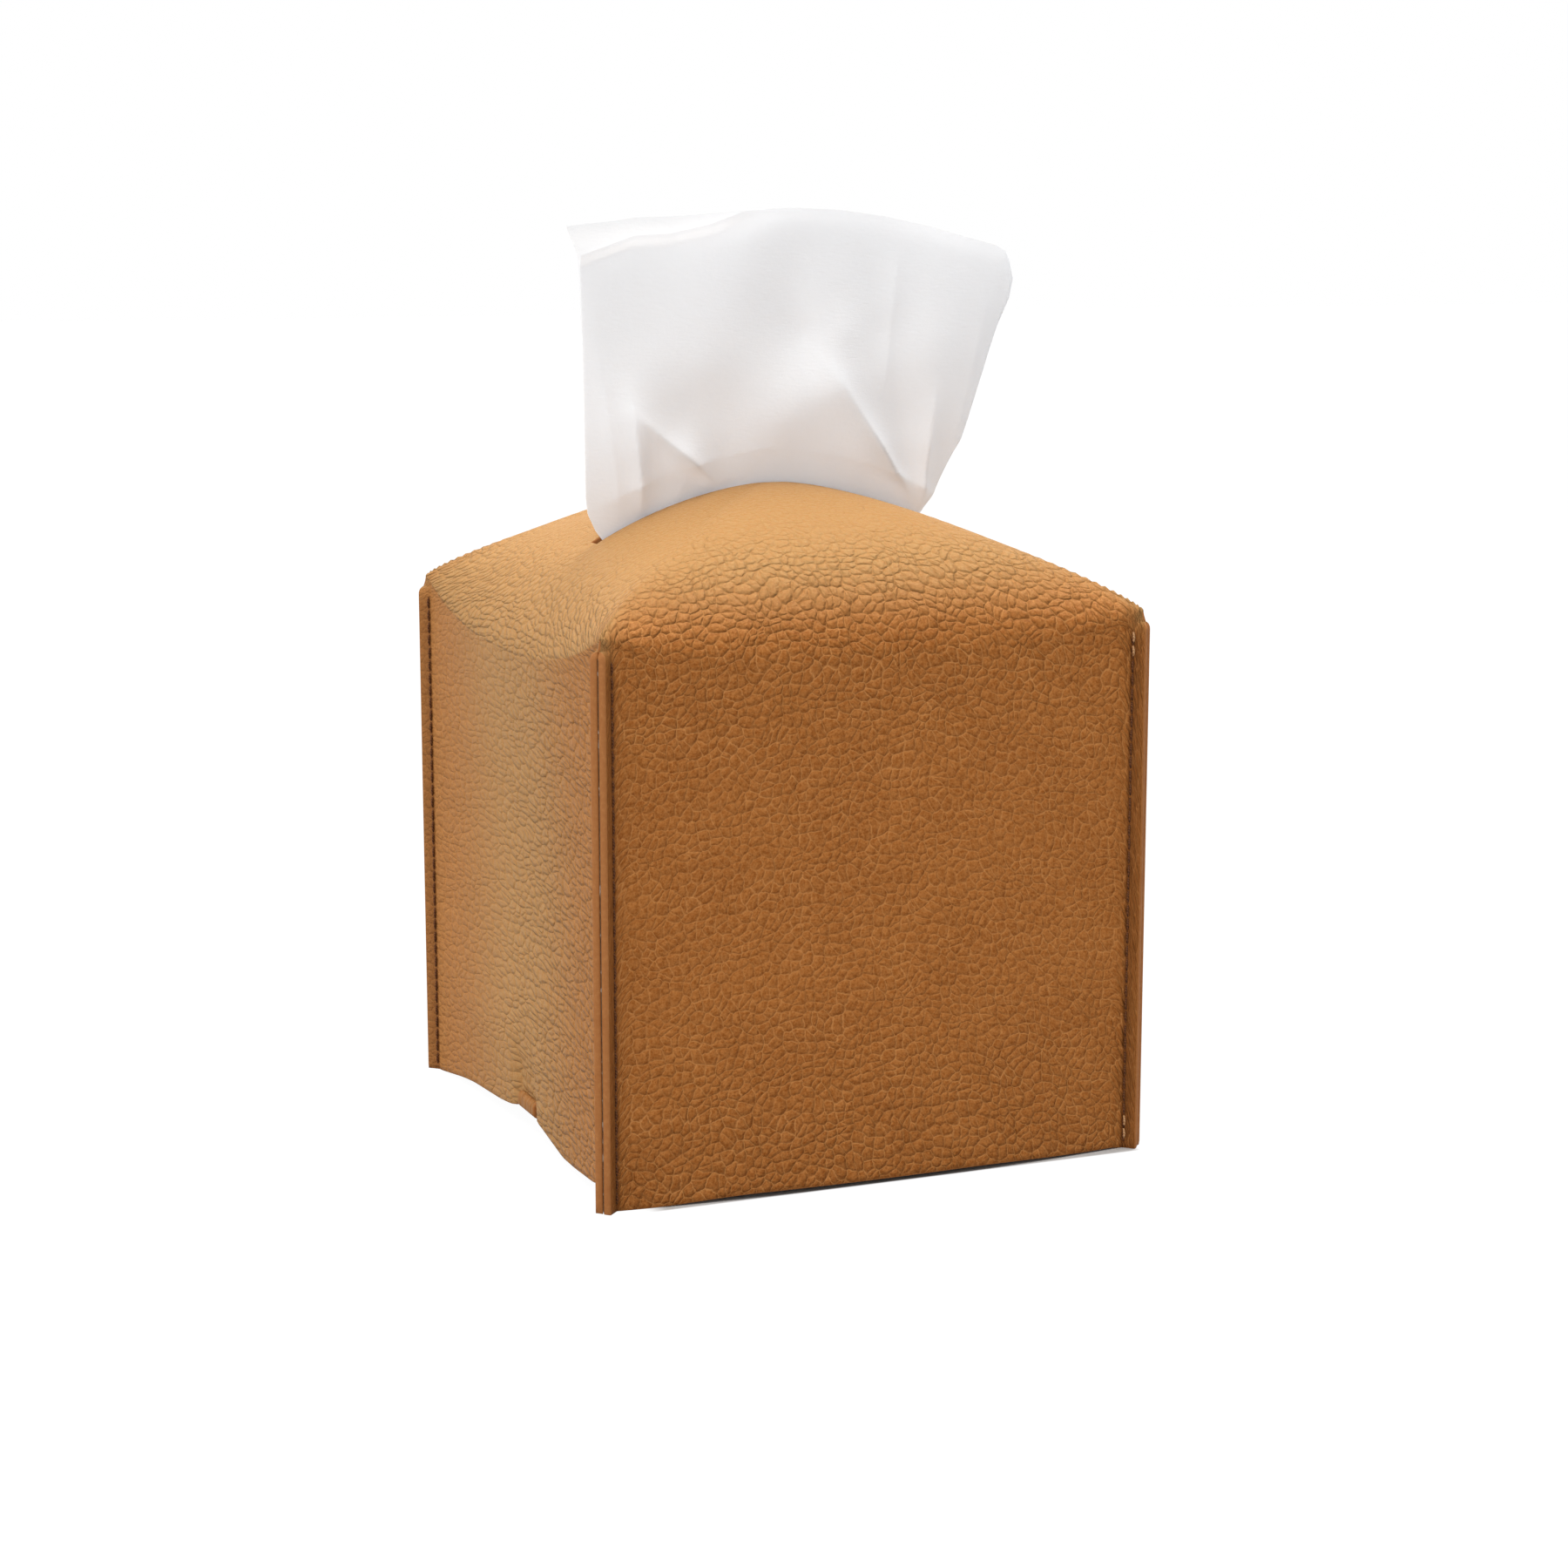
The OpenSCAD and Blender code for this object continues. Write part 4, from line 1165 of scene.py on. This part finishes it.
def forward(x, z):
    """How far the sheet stands forwards of the slot's plane."""
    n = len(SHEET_PLACES)
    y = spline_basis(x, z, SHEET_PLACES) @ SHEET_WEIGHTS[:n]
    y = y + SHEET_WEIGHTS[n] + SHEET_WEIGHTS[n + 1] * x + SHEET_WEIGHTS[n + 2] * z
    for start, end, height, left, right, rise, fall in SHEET_FOLDS:
        y = y + sharp_fold(x, z, start, end, height, left, right, rise, fall)
    return y


def ripples(x, z):
    """Small gathers of the sheet where it is drawn together below the roof."""
    depth = np.clip((roof_height(x, 0 * x, 0) + 2 - z) / 20, 0, 1)
    deep = 0.12 + 0.33 * smooth((z - FOOT_Z - 20) / 20)
    return deep * depth * np.sin(0.66 * x + 0.02 * z) * np.cos(0.043 * x)


def popup_grid(front, rows=128, cols=150):
    """The sheet's front or back layer: its foot, turned up, its neck and the fan over the roof."""
    u = np.linspace(0, 1, cols)
    x = FOOT_LEFT + (FOOT_RIGHT - FOOT_LEFT) * u

    def level(y, z):
        return np.stack([x, y, np.full(cols, z)], -1)

    foot = ripples(x, FOOT_Z + FOOT_H)
    grid = [level(POPUP_Y - 2 * TUCK + foot, FOOT_Z + FOOT_H * (1 - a))
            for a in np.linspace(0, 1, 8)[:-1]]
    grid += [level(POPUP_Y - TUCK * (1 + math.cos(turn)) + foot,
                   FOOT_Z + 0.5 - FOOT_BEND * math.sin(turn))
             for turn in math.pi * np.linspace(0, 1, 5)[:-1]]
    grid += [level(POPUP_Y + ripples(x, np.full(cols, z)), z)
             for z in np.linspace(FOOT_Z + 0.5, FAN_Z, 16)[:-1]]
    for v in np.linspace(0, 1, rows):
        z = np.full(cols, FAN_Z + (FAN_TOP - FAN_Z) * v)
        for _ in range(3):
            left, right = sheet_edges(front, z)
            x = left + (right - left) * u
            top = top_edge(front, x)
            z = FAN_Z + (top - FAN_Z) * v
        slot_free = np.clip((z - roof_height(x, 0 * x, 0) - 0.5) / 7, 0, 1)
        y = POPUP_Y - forward(x, z) * slot_free + ripples(x, z)
        if front:
            y = y - 1.1 * smooth((z - top + 3) / 3) * smooth((-4 - x) / 10)
        else:
            y = y + 1.6 * smooth((z - top + 7) / 7) * smooth((4 - x) / 14)
        grid.append(np.stack([x, y, z], -1))
    return np.array(grid)


def two_layers(front, back):
    """One folded sheet: its layers meet in a round fold at the right edge."""
    fold = [(a + b) / 2 + np.array([0.45 * min(1.0, abs(b[1] - a[1])), 0, 0])
            for a, b in zip(front[:, -1], back[:, -1])]
    ring = np.concatenate([front, np.array(fold)[:, None], back[:, ::-1]], axis=1)
    return ring.reshape(-1, 3), skin(*ring.shape[:2], closed=False)


def popup():
    front, back = popup_grid(True), popup_grid(False)
    rows = len(front)
    lift = np.clip((front[..., 2] - 138) / 50, 0, 1)
    tucked = (np.arange(rows) < 7)[:, None]
    front[..., 1] -= np.where(tucked, -LAYER, LAYER) + 0.25 * lift
    back[..., 1] += np.where(tucked, -LAYER, LAYER) + 0.7 * lift
    points, faces = two_layers(front, back)
    made = piece("drawn_sheet", points, faces, [TISSUE], body="tissue",
                 stands_for=["popup_tissue"])


popup()


def waiting_path():
    """Y and Z of the waiting sheet, from its end on the pile up to its folded head."""
    path = [(NEXT_Y + 50 - 22 * a, FOOT_Z + 0.4) for a in np.linspace(0, 1, 6)]
    for i in range(3):
        low = FOOT_Z + 0.8 + 7.5 * i
        for a in np.linspace(0.1, 1, 8):
            reach = 28 - 2.5 * i
            path.append((NEXT_Y + reach * (1 - a if i % 2 == 0 else a) + 0.6,
                         low + 3.4 * a + 3.8 * a ** 3))
    top = path[-1][1]
    path += [(NEXT_Y + (path[-1][0] - NEXT_Y) * (1 - a) ** 2, top + (120.2 - top) * a)
             for a in np.linspace(0.04, 1, 22)]
    return np.array(path)


def next_sheet():
    """The sheet that waits in the carton, drawn together towards its folded head."""
    u = np.linspace(-1, 1, 64)
    layers = [], []
    for y, z in waiting_path():
        drawn = np.clip((z - FOOT_Z - 4) / 45, 0, 1)
        x = u * (52.3 - 12.3 * drawn)
        wave = 0.35 * np.sin(9 * u + 0.05 * z)
        sag = 1.2 * drawn * u ** 2
        for layer, off in zip(layers, (-LAYER, LAYER)):
            layer.append(np.stack([x, y + wave + off, z - sag + off * (1 - drawn)], -1))
    points, faces = two_layers(*np.array(layers))
    made = piece("waiting_sheet", points, faces, [TISSUE], body=None,
                 stands_for=["next_tissue"])
    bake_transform(made)


next_sheet()


# ---------------------------------------------------------------- table, light
TABLE_REACH, TABLE_Z = 6000, -0.05
FILL = 0.27
# direction of each soft light, the cosines where it starts and is full, and its strength
GLOWS = [((-0.3, 0.92, 0.25), -0.3, 0.9, 1.05), ((-0.2, -0.78, 0.6), 0.1, 1.0, 0.3),
         ((-1.0, 0.0, 0.1), 0.2, 1.0, 0.38)]


def shown(g):
    """1 for rays that show the background: those of the eye, and in metal and clear film."""
    kinds = [g.add("ShaderNodeLightPath", out=f"Is {kind} Ray")
             for kind in ("Camera", "Glossy", "Transmission")]
    return kinds[0].most(kinds[1]).most(kinds[2])


def pale_table(g):
    """White table that keeps the shadow of what stands on it and is clear from below.

    The strip under the front hem doesn't glow, so the shade in the hem's gap is seen.
    """
    at = g.place()
    x, y = (g.add("ShaderNodeSeparateXYZ", {}, {"Vector": at}, axis) for axis in "XY")
    under = x.step(-0.056, -0.05) * (1 - x.step(0.063, 0.065)) * y.step(-0.0678, -0.0668)
    under = under * (1 - y.step(-0.059, -0.057))
    tone = g.noise(at, 6, 2)
    white = g.mix(tone, (0.44, 0.44, 0.44, 1), (0.46, 0.46, 0.46, 1))
    matt = surface(g, white, 0.9, Specular_IOR_Level=0.0)
    glow = g.add("ShaderNodeEmission", {}, {"Color": (1, 1, 1, 1), "Strength": 1.12})
    lit = g.add("ShaderNodeMixShader", {}, {0: shown(g) * (1 - under) * 0.86, 1: matt, 2: glow})
    below = g.add("ShaderNodeNewGeometry", out="Backfacing")
    clear = g.add("ShaderNodeBsdfTransparent")
    return g.add("ShaderNodeMixShader", {}, {0: below, 1: lit, 2: clear})


def table():
    corners = [(x * TABLE_REACH, y * TABLE_REACH, TABLE_Z)
               for x, y in ((-1, -1), (1, -1), (1, 1), (-1, 1))]
    made = piece("table_top", corners, [(0, 1, 2, 3)], [material(pale_table)], body=None)


def studio_world():
    """White all round to the eye. Its light comes mostly from behind, less from front and left."""
    world = bpy.data.worlds.new("studio")
    world.use_nodes = True
    bpy.context.scene.world = world
    g = Graph(world.node_tree)
    seen = shown(g)
    heading = g.add("ShaderNodeTexCoord", out="Generated")
    fill = FILL
    for direction, low, high, share in GLOWS:
        towards = g.add("ShaderNodeVectorMath", {"operation": "DOT_PRODUCT"},
                        {0: heading, 1: direction}, "Value")
        fill = fill + towards.step(low, high) * share
    strength = seen + (1 - seen) * fill
    g.finish(g.add("ShaderNodeBackground", {}, {"Color": (1, 1, 1, 1), "Strength": strength}))


def lamp(name, place, target, size, power, tint):
    data = bpy.data.lights.new(name, "AREA")
    data.shape, data.size, data.energy, data.color = "DISK", size, power, tint
    made = bpy.data.objects.new(name, data)
    made.location = place
    made.rotation_euler = (Vector(target) - Vector(place)).to_track_quat("-Z", "Y").to_euler()
    bpy.context.scene.collection.objects.link(made)


table()
studio_world()
lamp("softbox_left", (-0.42, -0.4, 1.38), (0, 0, 0.08), 0.8, 11, (1.0, 0.985, 0.95))
lamp("softbox_right", (0.6, 0.15, 1.2), (0, 0, 0.1), 0.9, 12.5, (1.0, 0.99, 0.97))
bpy.context.scene.view_settings.view_transform = "Standard"
